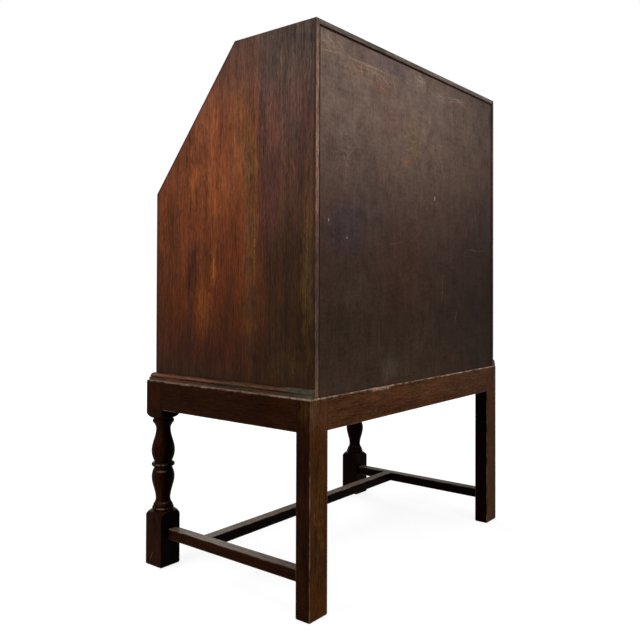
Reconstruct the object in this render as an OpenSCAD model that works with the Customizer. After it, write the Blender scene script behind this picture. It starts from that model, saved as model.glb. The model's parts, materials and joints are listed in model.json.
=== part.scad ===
// Slant-front desk: an oak case with a fall, drawers and pigeonholes, on a stand
// with turned front legs. Millimetres. The front faces -Y and the origin is on the
// floor under the middle of the stand. Left and right are as seen from the front.

/* [Overall] */
// Height of the whole desk
overall_h = 1015; // [990:5:1040]
// Width of the stand over its rails
stand_w = 710; // [680:5:760]
// Depth of the stand over its rails
stand_d = 430; // [420:5:450]

/* [Stand] */
// Height of the stand, up to the underside of the case
stand_h = 372; // [360:1:385]
// How far the stand stands out past the case, at the front and both sides
ledge = 13; // [12.5:0.5:16]
// Side of the square front legs, and width of the rear legs
leg_w = 48; // [44:1:52]
// Thickness of the rear legs, front to back
rear_leg_d = 31; // [28:1:36]
// Height of the rails
rail_h = 58; // [52:1:70]
// Thickness of the rails
rail_t = 22; // [18:1:25]
// Radius of the rounded top arris of the stand, outside the moulding
rail_arris_r = 3.5; // [2:0.5:4]
// Height of the moulding round the foot of the case
moulding_h = 15; // [14:1:18]
// Height of the square foot block of a front leg
foot_block_h = 110; // [104:1:120]
// How far the square head block of a front leg reaches below the rails
head_block_drop = 18.5; // [12:0.5:22]
// Height of the turned shoulders of the square blocks, at their corners
shoulder_h = 10; // [6:0.5:12]
// Radius of the two necks of the turning
neck_r = 14.5; // [12:0.5:17]
// Radius of the waist on each side of the middle ring
waist_r = 17.5; // [16:0.5:19.5]
// Width of the side stretchers
stretcher_w = 21; // [18:1:24]
// Height of the stretchers
stretcher_h = 20.5; // [16:0.5:26]
// Height of the top of the stretchers above the floor
stretcher_top = 75; // [65:1:88]
// How far the side stretchers are set in from the outer faces of the legs
stretcher_inset = 18; // [10:1:20]
// Width of the cross stretcher, front to back
cross_stretcher_w = 22; // [18:1:26]
// Distance of the cross stretcher behind the front of the stand
cross_stretcher_back = 130; // [100:5:170]
// Length of the tenons of the rails and stretchers
tenon_l = 18; // [14:1:20]
// Height of the corner blocks inside the stand
block_h = 40; // [30:1:46]
// Length of rail that a corner block is glued to, past the leg
block_reach = 50; // [46:1:60]
// Radius of the screws that hold the case down
screw_r = 2.25; // [2:0.25:3]

/* [Case] */
// Depth of the flat top
top_d = 195; // [185:5:205]
// Height at which the front starts to slant back
corner_z = 748; // [742:2:754]
// Thickness of the sides
side_t = 18; // [16:1:20]
// Thickness of the top
top_t = 18; // [16:1:20]
// Thickness of the case bottom
bottom_t = 18; // [18:1:22]
// Depth of the housings that the shelves are let into
housing = 6; // [4:0.5:8]
// Thickness of the plywood back
back_t = 6; // [4:0.5:8]
// How far the back lies inside the rear edges of the case
back_recess = 1.5; // [0.5:0.5:3]
// Width of the rear edges left outside the back
back_lip = 9; // [7:0.5:11]
// Gap round the back in its rebate
back_gap = 1; // [0.5:0.25:2]

/* [Fall] */
// Thickness of the fall and of the board that is written on
fall_t = 18; // [16:1:20]
// Width of the cross-grained ends of the fall
cleat_w = 55; // [45:1:65]
// Gap round the fall
fall_gap = 1; // [0.5:0.25:2]
// How far the hinge pins lie behind the front of the case
hinge_setback = 4; // [3.5:0.25:5]
// Length of a hinge
hinge_l = 45; // [38:1:56]
// Radius of the hinge knuckles
knuckle_r = 3; // [2.5:0.25:3.25]
// Width of a hinge leaf
leaf_w = 22; // [18:1:26]
// Thickness of a hinge leaf
leaf_t = 1.6; // [1.2:0.1:2]
// Distance of the hinges from the middle
hinge_x = 215; // [180:5:225]
// Width of the lock
lock_w = 64; // [50:1:76]
// Height of the lock, down from the edge of the fall
lock_h = 44; // [40:1:50]
// Thickness of the lock
lock_t = 9; // [8:0.5:11]
// How far the bolt of the lock shoots
bolt_throw = 6; // [4:0.5:8]

/* [Lopers] */
// Thickness of the lopers, the two slides that carry the open fall
loper_w = 22; // [18:1:26]
// Height of the lopers, and of the top drawer between them
loper_h = 69; // [62:1:76]
// Length of the lopers
loper_l = 320; // [280:5:360]
// Thickness of the partitions beside the lopers
partition_t = 14; // [10:1:18]

/* [Drawers] */
// Height of the opening of the middle drawer
middle_drawer_h = 100; // [92:1:108]
// Thickness of the rails between the drawers
divider_t = 18; // [15:1:20]
// Depth of the rails between the drawers
divider_d = 60; // [45:1:80]
// Thickness of the drawer fronts
front_t = 18; // [16:1:21]
// Thickness of the drawer sides and backs
drawer_side_t = 10; // [8:0.5:12]
// Thickness of the drawer bottoms
drawer_bottom_t = 5; // [4:0.5:6]
// Space left behind the drawers
drawer_space = 14; // [8:1:40]
// Gap round the drawer fronts
drawer_gap = 1; // [0.6:0.1:1.5]
// Width of the runners under the drawers
runner_w = 24; // [18:1:30]

/* [Handles] */
// Distance between the two posts of a handle
handle_span = 64; // [54:1:80]
// Distance from the pivot of a handle down to its grip
handle_drop = 27; // [24:1:30]
// Radius of the wire of a handle
wire_r = 2; // [1.75:0.25:2.25]
// Distance from the drawer front to the pivot of a handle
handle_stand = 8.5; // [7.5:0.5:9]
// Distance of the handles from the middle of the drawers
handle_x = 190; // [150:5:210]
// Height of a handle's plate
handle_plate_h = 20; // [16:1:22]
// Thickness of the plates of the handles and of the keyhole
plate_t = 1.4; // [1:0.1:2]
// Length of the turned knobs
knob_l = 12; // [10:0.5:12.5]

/* [Pigeonholes] */
// Depth of the fitment, front to back
fitment_d = 150; // [130:5:155]
// Height of the lower row of the fitment
tier_h = 88; // [75:1:100]
// Thickness of the shelf
shelf_t = 9; // [7:0.5:12]
// Thickness of the upright partitions
upright_t = 7; // [5:0.5:9]
// Clear width for the small drawer
small_drawer_w = 210; // [180:5:240]
// Thickness of the front of the small drawer
small_front_t = 11; // [9:0.5:13]
// Thickness of the sides and back of the small drawer
small_side_t = 6; // [5:0.5:8]
// Thickness of the bottom of the small drawer
small_bottom_t = 4; // [3:0.5:5]

/* [Hidden] */
$fn = 72;

OAK = "#5a3520";
OAK_DARK = "#3a2418";
OAK_PALE = "#a9804f";
PLY = "#4a382c";
BRASS = "#b08d4c";
STEEL = "#77746d";

// Running gap between sliding wood, radial play of pins and gap round screws
slide_gap = 0.3;
pin_play = 0.05;
screw_gap = 0.1;
// Glue line in the mitres of the moulding and the dovetails of a drawer's back
glue_line = 0.05;
// Overrun of a cutting shape past the face that it opens
cut = 1;

// Plan of the stand
half_w = stand_w / 2;
half_d = stand_d / 2;
leg_in_x = half_w - leg_w;
rail_in_x = half_w - rail_t;
rail_z = stand_h - rail_h;
front_leg_back = -half_d + leg_w;
rear_leg_front = half_d - rear_leg_d;
stretcher_out_x = half_w - stretcher_inset;
stretcher_in_x = stretcher_out_x - stretcher_w;
stretcher_z = stretcher_top - stretcher_h;
cross_y = [-half_d + cross_stretcher_back, -half_d + cross_stretcher_back + cross_stretcher_w];
// A tenon is a third of the rail's thickness, with shoulders above and below
rail_tenon_t = rail_t / 3;
rail_tenon_z = [rail_z + 6, stand_h - 10];
stretcher_tenon_z = [stretcher_z + 4, stretcher_top - 4];
stretcher_tenon_w = stretcher_w / 3;
cross_tenon_w = cross_stretcher_w - 8;
moulding_w = ledge - rail_arris_r;
ovolo_r = 0.85 * moulding_w;
quirk = 1;
block_z = stand_h - block_h;
screw_in = 9;
screw_bite = 12;
screw_head_r = 2 * screw_r;
screw_head_h = 3;

// Radii of the turning, all a little less than half of the square
belly_r = leg_w / 2 - 0.8;
low_belly_r = belly_r - 0.5;
ring_r = leg_w / 2 - 1;
bead_r = leg_w / 2 - 2.4;
fillet_r = leg_w / 2 - 4.5;
// A square block is rounded over by an arc that starts level, under the turning, and
// leaves the corners of the square by the height of the shoulder
shoulder_in_r = fillet_r - 1.5;
shoulder_reach = norm([leg_w / 2, leg_w / 2]) - shoulder_in_r;
shoulder_arc_r = (pow(shoulder_reach, 2) + pow(shoulder_h, 2)) / (2 * shoulder_h);
// Heights of the short parts of the turning, and what is left for the two tapers
head_block_z = rail_z - head_block_drop;
bead_h = 7;
fillet_h = 3;
cove_h = 12.5;
ring_h = 11;
low_round_h = 19;
high_round_h = 22;
short_parts_h = 2 * (bead_h + fillet_h + cove_h) + ring_h + low_round_h + high_round_h;
taper_h = (head_block_z - foot_block_h - short_parts_h) / 2;
z_low_fillet = foot_block_h + bead_h;
z_low_cove = z_low_fillet + fillet_h;
z_low_neck = z_low_cove + cove_h;
z_low_belly = z_low_neck + taper_h;
z_ring = z_low_belly + low_round_h;
z_ring_top = z_ring + ring_h;
z_high_belly = z_ring_top + high_round_h;
z_high_neck = z_high_belly + taper_h;
z_high_bead = z_high_neck + cove_h;
z_high_fillet = z_high_bead + bead_h;

// Case
case_w = stand_w - 2 * ledge;
case_d = stand_d - ledge;
half_case = case_w / 2;
inner_x = half_case - side_t;
front_y = half_d - case_d;
back_in = back_recess + back_t;
panel_y = half_d - back_in;
base_z = stand_h + bottom_t;
top_in_z = overall_h - top_t;
slope = atan2(overall_h - corner_z, case_d - top_d);
housing_stop = 12;
top_tongue_t = top_t / 3;

// The fall is drawn open, with its hinge line at y = 0 and its writing face at
// z = 0, and then swung up to its closed place
swing = 180 - slope;
hinge_y = front_y + hinge_setback;
hinge_z = corner_z - fall_t / cos(slope) + hinge_setback * tan(slope);
fall_half = inner_x - fall_gap;
fall_slant = (overall_h - hinge_z) * sin(slope) + (case_d - hinge_setback - top_d) * cos(slope);
fall_l = fall_slant - fall_gap;
// The lower edge is cut to lie in the front of the case when the fall is closed
heel_y = 0.5;
heel_v = (hinge_setback * cos(slope) + heel_y) / sin(slope);
heel_z = hinge_setback * sin(slope) + heel_v * cos(slope);
toe_v = (fall_t - hinge_setback * sin(slope)) / cos(slope);
toe_y = toe_v * sin(slope) - hinge_setback * cos(slope);
fall_outline = [[-heel_y, 0], [-heel_y, -heel_z], [-toe_y, -fall_t], [-fall_l, -fall_t], [-fall_l, 0]];
board_half = fall_half - cleat_w;
tongue_z = [-2 * fall_t / 3, -fall_t / 3];
tongue_y = [-fall_l + 30, -30];
tongue_l = 10;
knuckle_gap = 0.2;
knuckle_clear = knuckle_r + 0.4;
pin_r = knuckle_r / 2;
bolt_half = 8;
bolt_t = 5;
bolt_l = 22;
bolt_z = -lock_t / 2;
strike_gap = 0.6;
key_r = 3.4;
key_slot_w = 2.8;
key_slot_l = 9;
key_y = -fall_l + bolt_l + 9;

// Levels inside the case
under_writing_z = hinge_z - fall_t;
loper_top_z = under_writing_z - slide_gap;
loper_floor_z = loper_top_z - loper_h - slide_gap;
middle_top_z = loper_floor_z - divider_t;
middle_floor_z = middle_top_z - middle_drawer_h;
bottom_top_z = middle_floor_z - divider_t;
divider_back = front_y + divider_d;
loper_x = [inner_x - slide_gap - loper_w, inner_x - slide_gap];
partition_x = [loper_x[0] - slide_gap - partition_t, loper_x[0] - slide_gap];

// Fitment
fitment_y = panel_y - fitment_d;
shelf_z = [hinge_z + tier_h, hinge_z + tier_h + shelf_t];
upright_y = fitment_y + 3;
hole_w = (2 * inner_x - 4 * upright_t) / 5;
curve_r = 60;
curve_in = 15;

// A drawer is its half width, its bottom and top, its front and rear, and the
// thickness of its front, its sides and its bottom
drawer_y = [front_y, panel_y - drawer_space];
top_drawer = [partition_x[0] - drawer_gap, [loper_floor_z + slide_gap, under_writing_z - drawer_gap],
  drawer_y, front_t, drawer_side_t, drawer_bottom_t];
middle_drawer = [inner_x - drawer_gap, [middle_floor_z + slide_gap, middle_top_z - drawer_gap],
  drawer_y, front_t, drawer_side_t, drawer_bottom_t];
bottom_drawer = [inner_x - drawer_gap, [base_z + slide_gap, bottom_top_z - drawer_gap],
  drawer_y, front_t, drawer_side_t, drawer_bottom_t];
small_drawer = [small_drawer_w / 2 - drawer_gap, [hinge_z + slide_gap, shelf_z[0] - drawer_gap],
  [fitment_y, panel_y - 5], small_front_t, small_side_t, small_bottom_t];
tail_count = 3;
side_drop = 3;
back_drop = 5;

// Handles and knobs
post_r = 3.5;
ball_r = 2.7;
stub_r = 1.4;
bail_bend_r = 11;
grip_r = wire_r + 0.7;
grip_l = 18;
bail_x = handle_span / 2 + post_r + slide_gap + ball_r;
knob_base_r = 5;
knob_neck_r = 2.8;
knob_r = 6.5;

// A straight board between two x, two y and two z
module board(x, y, z) {
  translate([x[0], y[0], z[0]])
    cube([x[1] - x[0], y[1] - y[0], z[1] - z[0]]);
}

// A board cut to an outline in y and z, between two x
module profile_board(x, outline) {
  translate([x[0], 0, 0])
    rotate([90, 0, 90])
      linear_extrude(x[1] - x[0])
        polygon(outline);
}

// A piece of the right side, or its mirror image on the left
module on_side(s) {
  if (s > 0) children();
  else mirror([1, 0, 0]) children();
}

module both_sides() {
  on_side(1) children();
  on_side(-1) children();
}

// A piece of the fall, swung from its open to its closed place
module on_fall() {
  translate([0, hinge_y, hinge_z])
    rotate([-swing, 0, 0])
      children();
}

// Curves of the turning, from one radius and height to the next, as [r, z]
steps = 8;
function s_curve(r, z) = [for (i = [1:steps]) let (t = i / steps)
  [r[0] + (r[1] - r[0]) * (1 - cos(180 * t)) / 2, z[0] + (z[1] - z[0]) * t]];
function flat_start(r, z) = [for (i = [1:steps]) let (t = i / steps)
  [r[0] + (r[1] - r[0]) * (1 - cos(90 * t)), z[0] + (z[1] - z[0]) * t]];
function flat_end(r, z) = [for (i = [1:steps]) let (t = i / steps)
  [r[0] + (r[1] - r[0]) * sin(90 * t), z[0] + (z[1] - z[0]) * t]];
function bead(r, z) = [for (i = [0:steps]) let (a = 180 * i / steps)
  [r[0] + (r[1] - r[0]) * sin(a), z[0] + (z[1] - z[0]) * (1 - cos(a)) / 2]];

// The turned part of a front leg, with two opposed vases about a ring
module turning() {
  rotate_extrude()
    polygon(concat(
      [[0, foot_block_h - cut], [fillet_r, foot_block_h - cut]],
      bead([fillet_r, bead_r], [foot_block_h, z_low_fillet]),
      [[fillet_r, z_low_cove]],
      flat_end([fillet_r, neck_r], [z_low_cove, z_low_neck]),
      s_curve([neck_r, low_belly_r], [z_low_neck, z_low_belly]),
      flat_start([low_belly_r, waist_r], [z_low_belly, z_ring]),
      bead([waist_r, ring_r], [z_ring + 1, z_ring_top - 1]),
      [[waist_r, z_ring_top]],
      flat_end([waist_r, belly_r], [z_ring_top, z_high_belly]),
      s_curve([belly_r, neck_r], [z_high_belly, z_high_neck]),
      flat_start([neck_r, fillet_r], [z_high_neck, z_high_bead]),
      bead([fillet_r, bead_r], [z_high_bead, z_high_fillet]),
      [[fillet_r, head_block_z + cut], [0, head_block_z + cut]]));
}

// A square block from z = 0 up to its turned shoulder at z = h
module shouldered_block(h) {
  intersection() {
    translate([-leg_w / 2, -leg_w / 2, 0])
      cube([leg_w, leg_w, h]);
    union() {
      translate([0, 0, h - shoulder_arc_r])
        rotate_extrude()
          intersection() {
            translate([shoulder_in_r, 0])
              circle(r = shoulder_arc_r);
            square([2 * leg_w, shoulder_arc_r]);
          }
      translate([0, 0, -cut])
        cylinder(r = leg_w, h = h - shoulder_arc_r + cut);
      cylinder(r = shoulder_in_r + cut, h = h);
    }
  }
}

// What the rounded top arris takes off the front and the right side of the stand
module front_arris() {
  difference() {
    board([-half_w - cut, half_w + cut], [-half_d - cut, -half_d + rail_arris_r],
      [stand_h - rail_arris_r, stand_h + cut]);
    translate([-half_w - 2 * cut, -half_d + rail_arris_r, stand_h - rail_arris_r])
      rotate([0, 90, 0])
        cylinder(r = rail_arris_r, h = stand_w + 4 * cut);
  }
}

module side_arris() {
  difference() {
    board([half_w - rail_arris_r, half_w + cut], [-half_d - cut, half_d + cut],
      [stand_h - rail_arris_r, stand_h + cut]);
    translate([half_w - rail_arris_r, half_d + 2 * cut, stand_h - rail_arris_r])
      rotate([90, 0, 0])
        cylinder(r = rail_arris_r, h = stand_d + 4 * cut);
  }
}

// Tenons at the right-hand end of a front or back rail, about y
module cross_rail_tenon(y) {
  board([leg_in_x - cut, leg_in_x + tenon_l], [y - rail_tenon_t / 2, y + rail_tenon_t / 2], rail_tenon_z);
}

// Tenons at both ends of the right side rail
module side_rail_tenons() {
  x = half_w - rail_t / 2;
  board([x - rail_tenon_t / 2, x + rail_tenon_t / 2],
    [front_leg_back - tenon_l, front_leg_back + cut], rail_tenon_z);
  board([x - rail_tenon_t / 2, x + rail_tenon_t / 2],
    [rear_leg_front - cut, rear_leg_front + tenon_l], rail_tenon_z);
}

// Tenons at both ends of the right side stretcher
module side_stretcher_tenons() {
  x = stretcher_out_x - stretcher_w / 2;
  board([x - stretcher_tenon_w / 2, x + stretcher_tenon_w / 2],
    [front_leg_back - tenon_l, front_leg_back + cut], stretcher_tenon_z);
  board([x - stretcher_tenon_w / 2, x + stretcher_tenon_w / 2],
    [rear_leg_front - cut, rear_leg_front + tenon_l], stretcher_tenon_z);
}

// Tenon at the right-hand end of the cross stretcher
module cross_stretcher_tenon() {
  y = (cross_y[0] + cross_y[1]) / 2;
  board([stretcher_in_x - cut, stretcher_in_x + stretcher_w / 2],
    [y - cross_tenon_w / 2, y + cross_tenon_w / 2], stretcher_tenon_z);
}

module front_leg(s) {
  color(OAK_DARK) on_side(s) difference() {
    union() {
      translate([half_w - leg_w / 2, -half_d + leg_w / 2, 0]) {
        shouldered_block(foot_block_h);
        turning();
        translate([0, 0, stand_h]) mirror([0, 0, 1]) shouldered_block(stand_h - head_block_z);
      }
    }
    front_arris();
    side_arris();
    cross_rail_tenon(-half_d + rail_t / 2);
    side_rail_tenons();
    side_stretcher_tenons();
  }
}

module rear_leg(s) {
  color(OAK_DARK) on_side(s) difference() {
    board([leg_in_x, half_w], [rear_leg_front, half_d], [0, stand_h]);
    side_arris();
    cross_rail_tenon(half_d - rail_t / 2);
    side_rail_tenons();
    side_stretcher_tenons();
  }
}

module stand_front_rail() {
  color(OAK_DARK) union() {
    difference() {
      board([-leg_in_x, leg_in_x], [-half_d, -half_d + rail_t], [rail_z, stand_h]);
      front_arris();
    }
    both_sides() cross_rail_tenon(-half_d + rail_t / 2);
  }
}

module stand_back_rail() {
  color(OAK_DARK) union() {
    board([-leg_in_x, leg_in_x], [half_d - rail_t, half_d], [rail_z, stand_h]);
    both_sides() cross_rail_tenon(half_d - rail_t / 2);
  }
}

module stand_side_rail(s) {
  color(OAK_DARK) on_side(s) union() {
    difference() {
      board([rail_in_x, half_w], [front_leg_back, rear_leg_front], [rail_z, stand_h]);
      side_arris();
    }
    side_rail_tenons();
  }
}

module side_stretcher(s) {
  color(OAK_DARK) on_side(s) difference() {
    union() {
      board([stretcher_in_x, stretcher_out_x], [front_leg_back, rear_leg_front], [stretcher_z, stretcher_top]);
      side_stretcher_tenons();
    }
    cross_stretcher_tenon();
  }
}

module cross_stretcher() {
  color(OAK_DARK) union() {
    board([-stretcher_in_x, stretcher_in_x], cross_y, [stretcher_z, stretcher_top]);
    both_sides() cross_stretcher_tenon();
  }
}

// Section of the moulding, standing out from the case: an ovolo over a quirk and a flat band
module moulding_section() {
  ovolo_z = moulding_h - ovolo_r;
  union() {
    square([moulding_w, ovolo_z - quirk]);
    square([ovolo_r - quirk, ovolo_z]);
    intersection() {
      square([moulding_w, moulding_h]);
      translate([0, ovolo_z])
        circle(r = ovolo_r);
      translate([0, ovolo_z])
        square(ovolo_r);
    }
  }
}

// Three strips, mitred at the front corners
module stand_moulding() {
  out_x = half_case + moulding_w;
  out_y = front_y - moulding_w;
  mitre_in = half_case - glue_line;
  mitre_out = out_x - glue_line;
  color(OAK) {
    intersection() {
      translate([-out_x, front_y, stand_h])
        mirror([0, 1, 0])
          rotate([90, 0, 90])
            linear_extrude(2 * out_x)
              moulding_section();
      translate([0, 0, stand_h])
        linear_extrude(moulding_h + cut)
          polygon([[-mitre_in, front_y], [mitre_in, front_y], [mitre_out, out_y], [-mitre_out, out_y]]);
    }
    both_sides() intersection() {
      translate([half_case, half_d, stand_h])
        rotate([90, 0, 0])
          linear_extrude(half_d - out_y)
            moulding_section();
      translate([0, 0, stand_h])
        linear_extrude(moulding_h + cut)
          polygon([[half_case, front_y], [half_case, half_d], [out_x, half_d], [out_x, out_y]]);
    }
  }
}

// A screw up through a corner block into the case, with room for its own thread
module case_screw(y, gap) {
  translate([leg_in_x - screw_in, y, 0]) {
    translate([0, 0, block_z - screw_head_h])
      cylinder(r = screw_head_r + gap, h = screw_head_h);
    translate([0, 0, block_z - cut])
      cylinder(r = screw_r + gap, h = block_h + screw_bite + cut);
  }
}

module screw_row(gap) {
  both_sides() {
    case_screw(front_leg_back + screw_in, gap);
    case_screw(rear_leg_front - screw_in, gap);
  }
}

module corner_blocks() {
  front_rail_y = -half_d + rail_t;
  back_rail_y = half_d - rail_t;
  color(OAK_PALE) difference() {
    both_sides() {
      translate([0, 0, block_z])
        linear_extrude(block_h)
          polygon([[leg_in_x, front_rail_y], [leg_in_x - block_reach, front_rail_y],
            [rail_in_x, front_leg_back + block_reach], [rail_in_x, front_leg_back],
            [leg_in_x, front_leg_back]]);
      translate([0, 0, block_z])
        linear_extrude(block_h)
          polygon([[leg_in_x, back_rail_y], [leg_in_x - block_reach, back_rail_y],
            [rail_in_x, rear_leg_front - block_reach], [rail_in_x, rear_leg_front],
            [leg_in_x, rear_leg_front]]);
    }
    screw_row(screw_gap);
  }
}

module case_screws() {
  color(STEEL) screw_row(0);
}

// The part of a shelf that is let into the right side, stopped behind its front
module housed_end(y, z) {
  board([inner_x - cut, inner_x + housing], [y[0] + housing_stop, y[1]], z);
}

module housed_board(y, z) {
  union() {
    board([-inner_x, inner_x], y, z);
    both_sides() housed_end(y, z);
  }
}

// The tongue by which the top is let into the right side
module top_tongue() {
  board([inner_x - cut, inner_x + housing], [half_d - top_d + 2 * housing_stop, panel_y],
    [top_in_z, top_in_z + top_tongue_t]);
}

module case_side(s) {
  color(OAK) on_side(s) difference() {
    profile_board([inner_x, half_case],
      [[half_d, stand_h], [front_y, stand_h], [front_y, corner_z],
        [half_d - top_d, overall_h], [half_d, overall_h]]);
    board([inner_x - cut, half_case - back_lip], [panel_y, half_d + cut], [stand_h - cut, overall_h + cut]);
    housed_end([front_y, panel_y], [stand_h - cut, base_z]);
    housed_end([front_y, divider_back], [bottom_top_z, middle_floor_z]);
    housed_end([front_y, divider_back], [middle_top_z, loper_floor_z]);
    housed_end([hinge_y + slide_gap, panel_y], [under_writing_z, hinge_z]);
    housed_end([fitment_y, panel_y], shelf_z);
    top_tongue();
  }
}

// The front edge of the top is square to the slope, and holds the strike of the lock
module case_top() {
  lip_x = half_case - back_lip;
  color(OAK) difference() {
    union() {
      profile_board([-inner_x, inner_x],
        [[half_d - top_d, overall_h], [half_d - top_d + top_t * tan(slope), top_in_z],
          [panel_y, top_in_z], [panel_y, overall_h - back_lip],
          [half_d, overall_h - back_lip], [half_d, overall_h]]);
      both_sides() {
        board([inner_x - cut, lip_x], [panel_y, half_d], [overall_h - back_lip, overall_h]);
        top_tongue();
      }
    }
    on_fall()
      board([-bolt_half - strike_gap, bolt_half + strike_gap],
        [-fall_slant - bolt_throw - strike_gap, -fall_slant + cut],
        [bolt_z - bolt_t / 2 - strike_gap, bolt_z + bolt_t / 2 + strike_gap]);
  }
}

module case_bottom() {
  color(OAK_PALE) difference() {
    housed_board([front_y, panel_y], [stand_h, base_z]);
    screw_row(screw_gap);
  }
}

module back_panel() {
  x = half_case - back_lip - back_gap;
  color(PLY)
    board([-x, x], [panel_y, panel_y + back_t], [stand_h + back_gap, overall_h - back_lip - back_gap]);
}

module writing_board() {
  color(OAK) difference() {
    housed_board([hinge_y + slide_gap, panel_y], [under_writing_z, hinge_z]);
    hinge_pockets(1);
  }
}

module loper_partitions() {
  color(OAK) both_sides()
    board(partition_x, [front_y, panel_y], [loper_floor_z, under_writing_z]);
}

module upper_drawer_rail() {
  color(OAK) housed_board([front_y, divider_back], [middle_top_z, loper_floor_z]);
}

module lower_drawer_rail() {
  color(OAK) housed_board([front_y, divider_back], [bottom_top_z, middle_floor_z]);
}

module drawer_runners() {
  color(OAK_PALE) both_sides() {
    board([partition_x[0] - runner_w, inner_x], [divider_back, panel_y], [middle_top_z, loper_floor_z]);
    board([inner_x - runner_w, inner_x], [divider_back, panel_y], [bottom_top_z, middle_floor_z]);
  }
}

// Room for both hinges, in the writing face of the fall (side -1) or of the fixed board (1)
module hinge_pockets(side) {
  for (x = [-hinge_x, hinge_x])
    translate([x, hinge_y, hinge_z])
      rotate([side < 0 ? -swing : 0, 0, 0]) {
        mirror([0, side < 0 ? 1 : 0, 0])
          board([-hinge_l / 2, hinge_l / 2], [-cut, leaf_w], [-leaf_t, cut]);
        translate([-hinge_l / 2, 0, 0])
          rotate([0, 90, 0])
            cylinder(r = knuckle_clear, h = hinge_l);
      }
}

module fall_tongue() {
  board([board_half - cut, board_half + tongue_l], tongue_y, tongue_z);
}

// Keyhole: a round hole with a slot towards the hinges
module keyhole(gap) {
  union() {
    circle(r = key_r + gap);
    translate([-key_slot_w / 2 - gap, 0])
      square([key_slot_w + 2 * gap, key_slot_l + gap]);
  }
}

module fall_board() {
  color(OAK) difference() {
    on_fall() difference() {
      union() {
        profile_board([-board_half, board_half], fall_outline);
        both_sides() fall_tongue();
      }
      board([-lock_w / 2, lock_w / 2], [-fall_l - cut, -fall_l + lock_h], [-lock_t, cut]);
      translate([0, key_y, -fall_t - cut])
        linear_extrude(fall_t)
          keyhole(1);
    }
    hinge_pockets(-1);
  }
}

module fall_cleats() {
  color(OAK) on_fall() both_sides() difference() {
    profile_board([board_half, fall_half], fall_outline);
    fall_tongue();
  }
}

// One leaf with its knuckles, lying towards +y from the hinge line
module hinge_leaf(knuckles) {
  knuckle_l = hinge_l / 5;
  difference() {
    union() {
      board([-hinge_l / 2, hinge_l / 2], [knuckle_clear, leaf_w], [-leaf_t, 0]);
      for (k = knuckles)
        translate([-hinge_l / 2 + k * knuckle_l + knuckle_gap / 2, 0, 0]) {
          board([0, knuckle_l - knuckle_gap], [0, knuckle_clear + cut], [-leaf_t, 0]);
          rotate([0, 90, 0])
            cylinder(r = knuckle_r, h = knuckle_l - knuckle_gap);
        }
    }
    translate([-hinge_l / 2 - cut, 0, 0])
      rotate([0, 90, 0])
        cylinder(r = pin_r + pin_play, h = hinge_l + 2 * cut);
  }
}

module case_hinge_leaves() {
  color(BRASS)
    for (x = [-hinge_x, hinge_x])
      translate([x, hinge_y, hinge_z])
        hinge_leaf([0, 2, 4]);
}

module fall_hinge_leaves() {
  color(BRASS)
    for (x = [-hinge_x, hinge_x])
      on_fall()
        translate([x, 0, 0])
          mirror([0, 1, 0])
            hinge_leaf([1, 3]);
}

module hinge_pins() {
  color(STEEL)
    for (x = [-hinge_x, hinge_x])
      translate([x - hinge_l / 2, hinge_y, hinge_z])
        rotate([0, 90, 0])
          cylinder(r = pin_r, h = hinge_l);
}

// The lock fills its recess in the fall and has a channel for its bolt
module fall_lock() {
  color(BRASS) on_fall() difference() {
    board([-lock_w / 2, lock_w / 2], [-fall_l, -fall_l + lock_h], [-lock_t, 0]);
    board([-bolt_half - slide_gap, bolt_half + slide_gap], [-fall_l - cut, -fall_l + bolt_l + slide_gap],
      [bolt_z - bolt_t / 2 - slide_gap, bolt_z + bolt_t / 2 + slide_gap]);
    translate([0, key_y, -lock_t - cut])
      linear_extrude(lock_t - plate_t + cut)
        keyhole(0);
  }
}

module lock_bolt() {
  color(STEEL) on_fall()
    board([-bolt_half, bolt_half], [-fall_l, -fall_l + bolt_l], [bolt_z - bolt_t / 2, bolt_z + bolt_t / 2]);
}

module escutcheon() {
  color(BRASS) on_fall()
    translate([0, key_y, -fall_t - plate_t])
      linear_extrude(plate_t)
        difference() {
          union() {
            circle(r = 3 * key_r);
            translate([0, key_slot_l])
              circle(r = 2.4 * key_r);
          }
          keyhole(0);
        }
}

module loper(s) {
  color(OAK) on_side(s)
    board(loper_x, [front_y, front_y + loper_l], [loper_floor_z + slide_gap, loper_top_z]);
}

// A knob turned about an axis that stands out from the front
module knob(x, y, z) {
  head_h = knob_l / 2;
  translate([x, y, z])
    rotate([90, 0, 0])
      rotate_extrude()
        polygon(concat(
          [[0, 0], [knob_base_r, 0], [knob_base_r, plate_t], [knob_neck_r, 2 * plate_t],
            [knob_neck_r, knob_l - head_h]],
          [for (i = [1:steps]) let (a = 180 * i / steps)
            [max(0, knob_r * sin(a)), knob_l - head_h * (1 + cos(a)) / 2]]));
}

module loper_knob(s) {
  color(BRASS)
    on_side(s)
      knob((loper_x[0] + loper_x[1]) / 2, front_y, (loper_floor_z + loper_top_z) / 2);
}

// Dovetail tails in y and z: root and tip are y values, z the two edges of the joint.
// They run back into the side, and as a cutter out past the tip and wider by a gap
module tails(x, root, tip, z, over_tip, gap) {
  pitch = (z[1] - z[0]) / tail_count;
  way = sign(tip - root);
  root_half = 0.26 * pitch + gap;
  tip_half = 0.36 * pitch + gap;
  for (i = [0:tail_count - 1]) {
    mid = z[0] + (i + 0.5) * pitch;
    profile_board(x, [
      [root - way * cut, mid - root_half], [root, mid - root_half],
      [tip, mid - tip_half], [tip + way * over_tip, mid - tip_half],
      [tip + way * over_tip, mid + tip_half], [tip, mid + tip_half],
      [root, mid + root_half], [root - way * cut, mid + root_half]]);
  }
}

// Joints of a drawer: lapped at the front, through at the back
function lap_y(d) = d[2][0] + d[3] / 3;
function side_top(d) = d[1][1] - side_drop;
function groove_z(d) = d[1][0] + d[5] + 3;
function back_z(d) = [groove_z(d) + d[5], side_top(d) - back_drop];

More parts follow.
